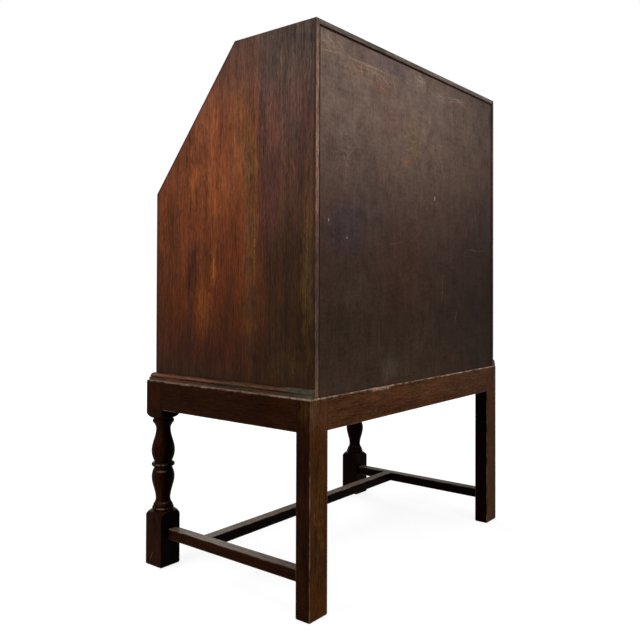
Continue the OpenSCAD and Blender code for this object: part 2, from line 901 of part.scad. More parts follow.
module front_tails(d, x) {
  tails(x, d[2][0] + d[3], lap_y(d), [d[1][0], side_top(d)], 0, 0);
}

module back_tails(d, x, over, gap) {
  tails(x, d[2][1] - d[4], d[2][1], back_z(d), over, gap);
}

module drawer_bottom(d) {
  x = d[0] - d[4] / 2;
  color(OAK_PALE)
    board([-x, x], [d[2][0] + d[3] * 2 / 3, d[2][1]], [groove_z(d), groove_z(d) + d[5]]);
}

module drawer_front(d) {
  color(OAK) difference() {
    board([-d[0], d[0]], [d[2][0], d[2][0] + d[3]], d[1]);
    both_sides() front_tails(d, [d[0] - d[4], d[0] + cut]);
    drawer_bottom(d);
  }
}

// Two sides and a back
module drawer_box(d) {
  x = [d[0] - d[4], d[0]];
  root = [d[2][0] + d[3], d[2][1] - d[4]];
  color(OAK_PALE) {
    both_sides() difference() {
      union() {
        board(x, root, [d[1][0], side_top(d)]);
        front_tails(d, x);
        back_tails(d, x, 0, 0);
        board(x, [root[1] - cut, d[2][1]], [d[1][0], back_z(d)[0]]);
        board(x, [root[1] - cut, d[2][1]], [back_z(d)[1], side_top(d)]);
      }
      drawer_bottom(d);
    }
    difference() {
      board([-d[0], d[0]], [root[1] + glue_line, d[2][1]],
        [back_z(d)[0] + glue_line, back_z(d)[1] - glue_line]);
      both_sides() back_tails(d, [d[0] - d[4] - cut, d[0] + cut], cut, glue_line);
    }
  }
}

// Middle of a drawer front, at its handles
function pull_z(d) = (d[1][0] + d[1][1]) / 2 + handle_drop / 3;

// The two shaped plates of a drawer, each with two ball-headed posts
module handle_plates(d) {
  color(BRASS)
    for (x = [-handle_x, handle_x])
      translate([x, front_y, pull_z(d)])
        difference() {
          union() {
            rotate([90, 0, 0])
              linear_extrude(plate_t)
                union() {
                  circle(r = 0.65 * handle_plate_h);
                  translate([-handle_span / 2, -handle_plate_h / 4])
                    square([handle_span, handle_plate_h / 2]);
                  for (e = [-1, 1])
                    translate([e * handle_span / 2, 0])
                      circle(r = handle_plate_h / 2);
                }
            for (e = [-1, 1])
              translate([e * handle_span / 2, 0, 0])
                rotate([90, 0, 0]) {
                  cylinder(r = 0.7 * post_r, h = handle_stand);
                  translate([0, 0, handle_stand])
                    sphere(r = post_r);
                }
          }
          translate([-handle_span, -handle_stand, 0])
            rotate([0, 90, 0])
              cylinder(r = stub_r + pin_play, h = 2 * handle_span);
        }
}

// A bail, hanging from its two posts
module bail(d, s) {
  arm = handle_drop - bail_bend_r;
  color(BRASS)
    translate([s * handle_x, front_y - handle_stand, pull_z(d)]) {
      both_sides() {
        translate([bail_x, 0, 0])
          sphere(r = ball_r);
        translate([handle_span / 2 - post_r / 2, 0, 0])
          rotate([0, 90, 0])
            cylinder(r = stub_r, h = bail_x - handle_span / 2 + post_r / 2);
        translate([bail_x, 0, -arm])
          cylinder(r = wire_r, h = arm);
        translate([bail_x - bail_bend_r, 0, -arm])
          rotate([-90, 0, 0])
            rotate_extrude(angle = 90)
              translate([bail_bend_r, 0])
                circle(r = wire_r);
      }
      translate([-bail_x + bail_bend_r, 0, -handle_drop])
        rotate([0, 90, 0])
          cylinder(r = wire_r, h = 2 * (bail_x - bail_bend_r));
      translate([-grip_l / 2, 0, -handle_drop])
        rotate([0, 90, 0])
          cylinder(r = grip_r, h = grip_l);
      for (e = [-1, 1])
        translate([e * grip_l / 2, 0, -handle_drop])
          sphere(r = grip_r);
    }
}

module fitment_shelf() {
  color(OAK) housed_board([fitment_y, panel_y], shelf_z);
}

// Four uprights with hollowed fronts over the shelf, and two below beside the small drawer
module fitment_uprights() {
  mid_z = (shelf_z[1] + top_in_z) / 2;
  color(OAK) {
    for (i = [1:4]) {
      x = -inner_x + i * hole_w + (i - 1) * upright_t;
      difference() {
        board([x, x + upright_t], [upright_y, panel_y], [shelf_z[1], top_in_z]);
        translate([x - cut, upright_y + curve_in - curve_r, mid_z])
          rotate([0, 90, 0])
            cylinder(r = curve_r, h = upright_t + 2 * cut);
      }
    }
    both_sides()
      board([small_drawer_w / 2, small_drawer_w / 2 + upright_t], [upright_y, panel_y], [hinge_z, shelf_z[0]]);
  }
}

module small_drawer_knob() {
  color(BRASS) knob(0, fitment_y, (small_drawer[1][0] + small_drawer[1][1]) / 2);
}

front_leg(-1);  // front_leg_left
front_leg(1);  // front_leg_right
rear_leg(-1);  // rear_leg_left
rear_leg(1);  // rear_leg_right
stand_front_rail();
stand_back_rail();
stand_side_rail(-1);  // stand_side_rail_left
stand_side_rail(1);  // stand_side_rail_right
side_stretcher(-1);  // side_stretcher_left
side_stretcher(1);  // side_stretcher_right
cross_stretcher();
stand_moulding();
corner_blocks();
case_screws();
case_side(-1);  // case_side_left
case_side(1);  // case_side_right
case_top();
case_bottom();
back_panel();
writing_board();
loper_partitions();
upper_drawer_rail();
lower_drawer_rail();
drawer_runners();
fall_board();
fall_cleats();
fall_hinge_leaves();
case_hinge_leaves();
hinge_pins();
fall_lock();
lock_bolt();
escutcheon();
loper(-1);  // loper_left
loper(1);  // loper_right
loper_knob(-1);  // loper_knob_left
loper_knob(1);  // loper_knob_right
drawer_front(top_drawer);  // top_drawer_front
drawer_box(top_drawer);  // top_drawer_box
drawer_bottom(top_drawer);  // top_drawer_bottom
handle_plates(top_drawer);  // top_drawer_plates
bail(top_drawer, -1);  // top_drawer_bail_left
bail(top_drawer, 1);  // top_drawer_bail_right
drawer_front(middle_drawer);  // middle_drawer_front
drawer_box(middle_drawer);  // middle_drawer_box
drawer_bottom(middle_drawer);  // middle_drawer_bottom
handle_plates(middle_drawer);  // middle_drawer_plates
bail(middle_drawer, -1);  // middle_drawer_bail_left
bail(middle_drawer, 1);  // middle_drawer_bail_right
drawer_front(bottom_drawer);  // bottom_drawer_front
drawer_box(bottom_drawer);  // bottom_drawer_box
drawer_bottom(bottom_drawer);  // bottom_drawer_bottom
handle_plates(bottom_drawer);  // bottom_drawer_plates
bail(bottom_drawer, -1);  // bottom_drawer_bail_left
bail(bottom_drawer, 1);  // bottom_drawer_bail_right
fitment_shelf();
fitment_uprights();
drawer_front(small_drawer);  // small_drawer_front
drawer_box(small_drawer);  // small_drawer_box
drawer_bottom(small_drawer);  // small_drawer_bottom
small_drawer_knob();
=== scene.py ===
import json
import math
import random

import bmesh
import bpy
import numpy as np
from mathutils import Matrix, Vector

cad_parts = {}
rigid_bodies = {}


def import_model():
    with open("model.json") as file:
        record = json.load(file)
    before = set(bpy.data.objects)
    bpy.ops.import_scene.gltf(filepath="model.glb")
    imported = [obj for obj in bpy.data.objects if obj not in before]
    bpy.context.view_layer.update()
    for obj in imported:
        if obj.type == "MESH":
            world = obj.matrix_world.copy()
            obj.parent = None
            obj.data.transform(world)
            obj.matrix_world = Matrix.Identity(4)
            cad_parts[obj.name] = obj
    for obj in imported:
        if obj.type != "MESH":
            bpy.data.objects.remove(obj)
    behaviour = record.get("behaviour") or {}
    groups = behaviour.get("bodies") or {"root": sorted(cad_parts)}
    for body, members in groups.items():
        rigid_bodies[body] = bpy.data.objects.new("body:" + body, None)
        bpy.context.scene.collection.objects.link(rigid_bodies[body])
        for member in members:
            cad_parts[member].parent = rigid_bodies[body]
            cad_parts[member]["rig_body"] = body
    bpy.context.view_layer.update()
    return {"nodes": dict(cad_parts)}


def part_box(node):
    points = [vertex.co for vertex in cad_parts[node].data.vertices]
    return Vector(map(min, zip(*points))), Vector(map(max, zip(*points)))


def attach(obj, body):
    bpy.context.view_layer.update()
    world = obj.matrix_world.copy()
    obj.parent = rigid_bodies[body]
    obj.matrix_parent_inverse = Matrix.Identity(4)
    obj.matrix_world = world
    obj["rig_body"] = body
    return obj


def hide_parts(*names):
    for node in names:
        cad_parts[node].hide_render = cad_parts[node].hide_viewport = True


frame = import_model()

scene = bpy.context.scene


# Photographer's camera
# The desk was photographed from behind and to its right, with the lens at the height of
# the drawers. The lens and its place were solved from the corners of the desk.
photo_camera = bpy.data.cameras.new("photo_camera")
photo_camera.sensor_width = 36
photo_camera.lens = 40.444
photo_camera.shift_x = -0.01295
photo_camera.shift_y = -0.06015
camera = bpy.data.objects.new("photo_camera", photo_camera)
camera.location = (1.2777, 0.97556, 0.5549)
camera.rotation_euler = [math.radians(turn) for turn in (90.6551, -0.1806, 128.0877)]
scene.collection.objects.link(camera)
scene.camera = camera


# Studio
# A pale paper floor, a white surround and large soft boxes. The surround and the floor
# show white to the camera, but light the desk no more than a studio wall would.
def linear(code):
    """An sRGB hex colour as linear light, with full opacity."""
    parts = [int(code[i:i + 2], 16) / 255 for i in (1, 3, 5)]
    return [p / 12.92 if p <= 0.04045 else ((p + 0.055) / 1.055) ** 2.4 for p in parts] + [1.0]


def add(tree, kind, inputs=None, stops=(), **settings):
    """Adds a node and gives its outputs.

    Inputs are values or the sockets to link, and stops are a ramp's colours.
    """
    node = tree.nodes.new("ShaderNode" + kind)
    for name, value in settings.items():
        setattr(node, name, value)
    for key, value in (inputs or {}).items():
        if isinstance(value, bpy.types.NodeSocket):
            tree.links.new(value, node.inputs[key])
        else:
            node.inputs[key].default_value = value
    if stops:
        bar = node.color_ramp.elements
        while len(bar) < len(stops):
            bar.new(0.5)
        for element, (place, colour) in zip(bar, stops):
            element.position = place
            element.color = linear(colour)
    return node.outputs


def is_looked_at(tree):
    """1 for rays from the camera and for those in gloss and glass, 0 for light on the desk."""
    seen = add(tree, "LightPath")
    looked = add(tree, "Math", {0: seen["Is Camera Ray"], 1: seen["Is Glossy Ray"]}, operation="MAXIMUM")
    looked = add(tree, "Math", {0: looked[0], 1: seen["Is Transmission Ray"]}, operation="MAXIMUM")
    return looked[0]


scene.view_settings.view_transform = "Standard"
world = bpy.data.worlds.new("studio_surround")
scene.world = world
world.use_nodes = True
tree = world.node_tree
tree.nodes.clear()
wall_light = add(tree, "Background", {"Color": linear("#e9ecf2"), "Strength": 0.22})[0]
white = add(tree, "Background", {"Color": (1, 1, 1, 1), "Strength": 1.0})[0]
surround = add(tree, "MixShader", {0: is_looked_at(tree), 1: wall_light, 2: white})
add(tree, "OutputWorld", {"Surface": surround[0]})

FLOOR_HALF = 6.0
corners = [(x * FLOOR_HALF, y * FLOOR_HALF, 0) for x, y in ((-1, -1), (1, -1), (1, 1), (-1, 1))]
floor_mesh = bpy.data.meshes.new("studio_floor")
floor_mesh.from_pydata(corners, [], [(0, 1, 2, 3)])
floor = bpy.data.objects.new("studio_floor", floor_mesh)
scene.collection.objects.link(floor)
# Matt paper: a grey reply to the lamps, brought up to white where it is looked at, so
# that the desk's shadow still falls on it and it ends in the white of the surround
SHADOW_REACH, PAPER_END = 0.8, 2.0
paper = bpy.data.materials.new("matt_paper_floor")
paper.use_nodes = True
tree = paper.node_tree
tree.nodes.clear()
away = add(tree, "TexCoord")["Object"]
away = add(tree, "VectorMath", {0: away}, operation="LENGTH")["Value"]
lift = add(tree, "MapRange", {"Value": away, 1: SHADOW_REACH, 2: PAPER_END, 3: 0.84, 4: 1.0})[0]
lift = add(tree, "Math", {0: lift, 1: is_looked_at(tree)}, operation="MULTIPLY")[0]
lift = add(tree, "Emission", {"Color": (1, 1, 1, 1), "Strength": lift})[0]
sheet = add(tree, "BsdfDiffuse", {"Color": linear("#8f8f8f")})[0]
add(tree, "OutputMaterial", {"Surface": add(tree, "AddShader", {0: sheet, 1: lift})[0]})
floor_mesh.materials.append(paper)

# Soft boxes: name, place, aim, width, height and watts
for name, place, aim, width, height, watts in (
        ("side_soft_box", (3.0, -0.9, 1.7), (0.3, 0.0, 0.6), 1.6, 1.8, 62),
        ("back_soft_box", (0.4, 3.1, 1.9), (0.0, 0.2, 0.6), 1.8, 1.6, 50),
        ("front_soft_box", (-1.6, -3.0, 1.9), (0.0, -0.1, 0.6), 1.8, 1.8, 60),
        ("top_soft_box", (0.1, 0.2, 3.2), (0.0, 0.0, 0.9), 1.6, 1.6, 26)):
    lamp = bpy.data.lights.new(name, "AREA")
    lamp.shape = "RECTANGLE"
    lamp.size = width
    lamp.size_y = height
    lamp.energy = watts
    box = bpy.data.objects.new(name, lamp)
    box.location = place
    box.rotation_mode = "QUATERNION"
    box.rotation_quaternion = (Vector(aim) - Vector(place)).to_track_quat("-Z", "Y")
    scene.collection.objects.link(box)


# Oak of the stand
# The stand is oak, stained nearly black and polished by hand. The stain is thin: it
# lies deep in the pores and has worn off the arrises, where the paler wood shows.
MM = 0.001
METRE = 1000
# How far from an arris the wood is rubbed fully, and where that ends, in metres; a painted highlight on a
# turned crest has the same widths
WEAR_AND_HIGHLIGHT_FULL, WEAR_AND_HIGHLIGHT_END = 0.0005, 0.0021


def new_finish(name):
    """A new material, with its tree of nodes and its shader."""
    material = bpy.data.materials.new(name)
    material.use_nodes = True
    tree = material.node_tree
    return material, tree, tree.nodes["Principled BSDF"]


def oak(name, ground, worn, figure=0.35, roughness=0.5, specular=0.04, wear=0.8, pore_depth=0.5, joints=None):
    """Polished oak: growth bands, fibres, open pores, worn arrises and painted highlights on turned crests,
    as colour, gloss and relief.

    The ground is a hex colour, or a function that adds the nodes of a colour that changes
    over the board. The patterns run along the grain that each piece carries. The joints
    are a function that adds a mask, 0 where two boards meet flush and no arris is worn.
    """
    material, tree, shader = new_finish(name)
    place = add(tree, "Attribute", attribute_name="grain")["Vector"]
    # Lengths along and across the grain, in mm. Real pores are 0.3 mm wide and the silver
    # rays 0.5 mm; they are drawn wider, so that they show from a few steps away
    pattern = {}
    for part, along, across, detail, seed in (
            ("bands", 420, 17, 2, 0), ("fibres", 46, 2.4, 3, 7), ("pores", 10, 1.5, 1, 13),
            ("rays", 13, 1.9, 1, 57), ("stain", 110, 60, 3, 29), ("wear", 26, 7, 3, 41)):
        stretch = (METRE / along, METRE / across, METRE / across)
        stretched = add(tree, "VectorMath", {0: place, 1: stretch, 2: (seed, seed, seed)},
            operation="MULTIPLY_ADD")[0]
        clouds = add(tree, "TexNoise", {"Vector": stretched, "Scale": 1.0, "Detail": detail})
        pattern[part] = clouds["Fac"]
    # How dark or light the wood is, against its ground colour
    tone = 1.0
    for part, share in (("bands", 1.0), ("fibres", 1.5), ("rays", 0.7), ("stain", 1.1)):
        swing = add(tree, "Math", {0: pattern[part], 1: -0.5}, operation="ADD")[0]
        tone = add(tree, "Math", {0: swing, 1: 2 * figure * share, 2: tone}, operation="MULTIPLY_ADD")[0]
    tone = add(tree, "Math", {0: tone, 1: 0.15}, operation="MAXIMUM")[0]
    colour = ground(tree) if callable(ground) else linear(ground)[:3]
    colour = add(tree, "VectorMath", {0: colour, "Scale": tone}, operation="SCALE")[0]
    # Silver rays: short dashes that took less stain, and are a little more golden
    golden = add(tree, "VectorMath", {0: colour, 1: (1.5, 1.42, 1.1)}, operation="MULTIPLY")[0]
    rays = add(tree, "MapRange", {"Value": pattern["rays"], 1: 0.56, 2: 0.7, 3: 0.0, 4: figure})[0]
    colour = add(tree, "Mix", {0: rays, 6: colour, 7: golden}, data_type="RGBA")[2]
    # Pores: short dark dashes, filled with old stain
    pores = add(tree, "MapRange", {"Value": pattern["pores"], 1: 0.58, 2: 0.68, 3: 0.0, 4: pore_depth})[0]
    colour = add(tree, "Mix", {0: pores, 6: colour, 7: linear("#0d0504")}, data_type="RGBA")[2]
    # Worn arrises, and on turned legs a painted highlight: the distance to the nearest edge of the board, or
    # to a painted highlight line on a turned crest
    edge = add(tree, "Attribute", attribute_name="edge")["Vector"]
    span = add(tree, "Attribute", attribute_name="span")["Vector"]
    crest = add(tree, "Attribute", attribute_name="crest")["Fac"]
    away = add(tree, "VectorMath", {0: edge}, operation="ABSOLUTE")[0]
    inset = add(tree, "VectorMath", {0: span, 1: away}, operation="SUBTRACT")[0]
    inset = add(tree, "SeparateXYZ", {0: inset})
    low = add(tree, "Math", {0: inset[0], 1: inset[1]}, operation="MINIMUM")[0]
    high = add(tree, "Math", {0: inset[0], 1: inset[1]}, operation="MAXIMUM")[0]
    near = add(tree, "Math", {0: high, 1: inset[2]}, operation="MINIMUM")[0]
    near = add(tree, "Math", {0: low, 1: near}, operation="MAXIMUM")[0]
    near = add(tree, "Math", {0: near, 1: crest}, operation="MINIMUM")[0]
    wear_and_highlight = add(tree, "MapRange", {"Value": near, 1: WEAR_AND_HIGHLIGHT_FULL, 2: WEAR_AND_HIGHLIGHT_END, 3: wear, 4: 0.0})[0]
    patchy = add(tree, "MapRange", {"Value": pattern["wear"], 1: 0.42, 2: 0.64, 3: 0.1, 4: 1.0})[0]
    wear_and_highlight = add(tree, "Math", {0: wear_and_highlight, 1: patchy}, operation="MULTIPLY")[0]
    if joints:
        wear_and_highlight = add(tree, "Math", {0: wear_and_highlight, 1: joints(tree)}, operation="MULTIPLY")[0]
    colour = add(tree, "Mix", {0: wear_and_highlight, 6: colour, 7: linear(worn)}, data_type="RGBA")[2]
    tree.links.new(colour, shader.inputs["Base Color"])
    gloss = add(tree, "MapRange", {"Value": pattern["fibres"], 1: 0.3, 2: 0.7,
        3: roughness - 0.07, 4: roughness + 0.09})[0]
    tree.links.new(gloss, shader.inputs["Roughness"])
    shader.inputs["Specular IOR Level"].default_value = specular
    relief = add(tree, "Math", {0: pores, 1: -1.4, 2: pattern["fibres"]}, operation="MULTIPLY_ADD")[0]
    bump = add(tree, "Bump", {"Height": relief, "Strength": 0.35, "Distance": 0.0004})[0]
    tree.links.new(bump, shader.inputs["Normal"])
    return material


UPRIGHT = ((1, 0, 0), (0, 1, 0), (0, 0, 1))
SHARP = math.radians(25)
# Further from an edge than its wear reaches, in metres
FAR = 0.1
# Places nearer to each other than this, in metres, are one
CLOSE = 1e-5
# How much of its rounding an arris keeps where another piece lies against it
TIGHT_SHARE = 0.3


def give_grain(mesh, name, axes=UPRIGHT, along=None, joints=()):
    """Writes on each board of a mesh the places along and across its grain and to its edges.

    The joints are planes, as an axis and a place in mm, where the board runs on into
    another, so that its edges there aren't worn.
    """
    count = len(mesh.vertices)
    co = np.zeros(count * 3)
    mesh.vertices.foreach_get("co", co)
    local = co.reshape(-1, 3) @ np.array(axes, float).T
    board_of = list(range(count))

    def root(i):
        while board_of[i] != i:
            board_of[i] = board_of[board_of[i]]
            i = board_of[i]
        return i
    for a, b in (e.vertices for e in mesh.edges):
        board_of[root(a)] = root(b)
    roots = np.array([root(i) for i in range(count)])
    grain, edge, span = (np.zeros((count, 3)) for _ in range(3))
    for number, board in enumerate(sorted(set(roots.tolist()))):
        own = roots == board
        low, high = local[own].min(0), local[own].max(0)
        size = high - low
        lengthwise = int(size.argmax()) if along is None else along
        rest = sorted((i for i in range(3) if i != lengthwise), key=lambda i: -size[i])
        draw = random.Random(f"{name} {number}")
        shift = [draw.uniform(-3, 3) for _ in range(3)]
        grain[own] = (local[own] - (low + high) / 2)[:, [lengthwise, *rest]] + shift
        for axis, at in joints:
            if abs(low[axis] - at * MM) < CLOSE:
                low[axis] -= FAR
            if abs(high[axis] - at * MM) < CLOSE:
                high[axis] += FAR
        edge[own] = local[own] - (low + high) / 2
        span[own] = (high - low) / 2
    for title, values in (("grain", grain), ("edge", edge), ("span", span)):
        field = mesh.attributes.new(title, "FLOAT_VECTOR", "POINT")
        field.data.foreach_set("vector", values.astype(np.float32).ravel())
    mesh.attributes.new("crest", "FLOAT", "POINT").data.foreach_set("value", np.full(count, FAR, np.float32))


def put_in_place(mesh, node, material):
    """Adds a finished mesh that stands for a CAD node and rides on the node's body."""
    mesh.materials.clear()
    mesh.materials.append(material)
    piece = bpy.data.objects.new(f"{node}_piece", mesh)
    scene.collection.objects.link(piece)
    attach(piece, frame["nodes"][node]["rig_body"])
    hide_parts(node)


def eased(node, material, slot, arris=0.9, tight=(), unworn=(), foot=0, **grain):
    """The shape of a CAD node with its sharp arrises rounded over, as by a few strokes of sandpaper.

    Edges that lie in a tight plane, given as an axis and a place in mm, meet another
    piece closely and are hardly rounded. Those in an unworn plane keep their polish. A
    foot is the radius of the edges on the floor. Without an arris only the shading is
    smoothed.
    """
    bm = bmesh.new()
    bm.from_mesh(frame["nodes"][node].data)
    bmesh.ops.remove_doubles(bm, verts=bm.verts, dist=2e-6)
    bmesh.ops.dissolve_limit(bm, angle_limit=math.radians(0.5), verts=bm.verts, edges=bm.edges)
    weight = bm.edges.layers.float.new("bevel_weight_edge")
    for edge in bm.edges:
        if len(edge.link_faces) == 2 and edge.calc_face_angle(0) > SHARP:
            is_tight = any(all(abs(v.co[axis] - at * MM) < CLOSE for v in edge.verts) for axis, at in tight)
            lowest = all(v.co.z < CLOSE for v in edge.verts)
            radius = foot if foot and lowest else TIGHT_SHARE * arris if is_tight else arris
            edge[weight] = radius / max(arris, foot, CLOSE)
    mesh = bpy.data.meshes.new(node)
    bm.to_mesh(mesh)
    bm.free()
    mesh.polygons.foreach_set("use_smooth", [True] * len(mesh.polygons))
    if arris:
        rough = bpy.data.objects.new(node + "_rough", mesh)
        scene.collection.objects.link(rough)
        round_over = rough.modifiers.new("round_over", "BEVEL")
        round_over.limit_method = "WEIGHT"
        round_over.width = max(arris, foot) * MM
        round_over.segments = 4 if foot else 2
        # Sliding would throw a spike out of the rounded head of a rear leg
        round_over.loop_slide = not foot
        rough.modifiers.new("flat_faces", "WEIGHTED_NORMAL").keep_sharp = True
        graph = bpy.context.evaluated_depsgraph_get()
        finished = bpy.data.meshes.new_from_object(rough.evaluated_get(graph))
        bpy.data.objects.remove(rough)
        bpy.data.meshes.remove(mesh)
        mesh = finished
    else:
        mesh.set_sharp_from_angle(angle=SHARP)
    give_grain(mesh, node, joints=(*tight, *unworn), **grain)
    put_in_place(mesh, node, material)


# How far the outlines of patches and the lines of scratches stray, in metres
RAGGED, WOBBLE = 0.05, 0.012


def patches(tree, colour, place, spots):
    """Lays soft-edged patches on a colour: middle and reach in mm, colour and strength."""
    # Their outlines wander over about 40 mm, as those of spills and old rubs do
    ragged = add(tree, "TexNoise", {"Vector": place, "Scale": 26.0, "Detail": 5.0, "Roughness": 0.6})
    moved = add(tree, "VectorMath", {0: ragged["Color"], 1: (RAGGED, RAGGED, 0), 2: place},
        operation="MULTIPLY_ADD")[0]
    for (u, v), (reach_u, reach_v), tint, strength in spots:
        middle = (u * MM + RAGGED / 2, v * MM + RAGGED / 2, 0)
        off = add(tree, "VectorMath", {0: moved, 1: middle}, operation="SUBTRACT")[0]
        shape = (1 / (reach_u * MM), 1 / (reach_v * MM), 0)
        off = add(tree, "VectorMath", {0: off, 1: shape}, operation="MULTIPLY")[0]
        off = add(tree, "VectorMath", {0: off}, operation="LENGTH")["Value"]
        fade = add(tree, "MapRange", {"Value": off, 1: 0.25, 2: 1.0, 3: strength, 4: 0.0},
            interpolation_type="SMOOTHSTEP")[0]
        colour = add(tree, "Mix", {0: fade, 6: colour, 7: linear(tint)}, data_type="RGBA")[2]
    return colour


def scratches(tree, colour, place, strokes):
    """Draws fine broken scratches: both ends and the width in mm, colour and strength."""
    # A stroke bends over about 70 mm, and is broken about every 6 mm
    wobble = add(tree, "TexNoise", {"Vector": place, "Scale": 14.0, "Detail": 3.0})["Fac"]
    broken = add(tree, "TexNoise", {"Vector": place, "Scale": 170.0, "Detail": 2.0})["Fac"]
    broken = add(tree, "MapRange", {"Value": broken, 1: 0.4, 2: 0.6, 3: 0.1, 4: 1.0})[0]
    for (u0, v0), (u1, v1), width, tint, strength in strokes:
        length = math.hypot(u1 - u0, v1 - v0)
        way = ((u1 - u0) / length, (v1 - v0) / length)
        middle = ((u0 + u1) / 2 * MM, (v0 + v1) / 2 * MM, 0)
        off = add(tree, "VectorMath", {0: place, 1: middle}, operation="SUBTRACT")[0]
        run = add(tree, "VectorMath", {0: off, 1: (*way, 0)}, operation="DOT_PRODUCT")["Value"]
        run = add(tree, "Math", {0: run}, operation="ABSOLUTE")[0]
        run = add(tree, "MapRange", {"Value": run, 1: length * 0.2 * MM, 2: length * 0.5 * MM,
            3: strength, 4: 0.0})[0]
        off = add(tree, "VectorMath", {0: off, 1: (-way[1], way[0], 0)}, operation="DOT_PRODUCT")["Value"]
        off = add(tree, "Math", {0: wobble, 1: WOBBLE, 2: off}, operation="MULTIPLY_ADD")[0]
        off = add(tree, "Math", {0: off, 1: -WOBBLE / 2}, operation="ADD")[0]
        off = add(tree, "Math", {0: off}, operation="ABSOLUTE")[0]
        line = add(tree, "MapRange", {"Value": off, 1: width * 0.25 * MM, 2: width * 0.75 * MM,
            3: 1.0, 4: 0.0})[0]
        line = add(tree, "Math", {0: line, 1: run}, operation="MULTIPLY")[0]
        line = add(tree, "Math", {0: line, 1: broken}, operation="MULTIPLY")[0]
        colour = add(tree, "Mix", {0: line, 6: colour, 7: linear(tint)}, data_type="RGBA")[2]
    return colour


def facing(tree, axis):
    """1 on the faces of a piece that look along an axis, and 0 on the others."""
    turned = add(tree, "SeparateXYZ", {0: add(tree, "TexCoord")["Normal"]})[axis]
    return add(tree, "MapRange", {"Value": turned, 1: 0.5, 2: 0.9})[0]


LEG_IN, LEG_FRONT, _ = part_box("front_leg_right")[0]
LEG_OUT, LEG_BACK, STAND_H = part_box("front_leg_right")[1]
REAR_LEG_FRONT, STAND_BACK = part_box("rear_leg_right")[0].y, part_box("rear_leg_right")[1].y
RAIL_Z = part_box("stand_side_rail_right")[0].z
STRETCHER_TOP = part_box("cross_stretcher")[1].z
# A line painted along an edge starts this far from it, and is full from there on, in metres
LINE_START, LINE_FULL = 0.0034, 0.0022


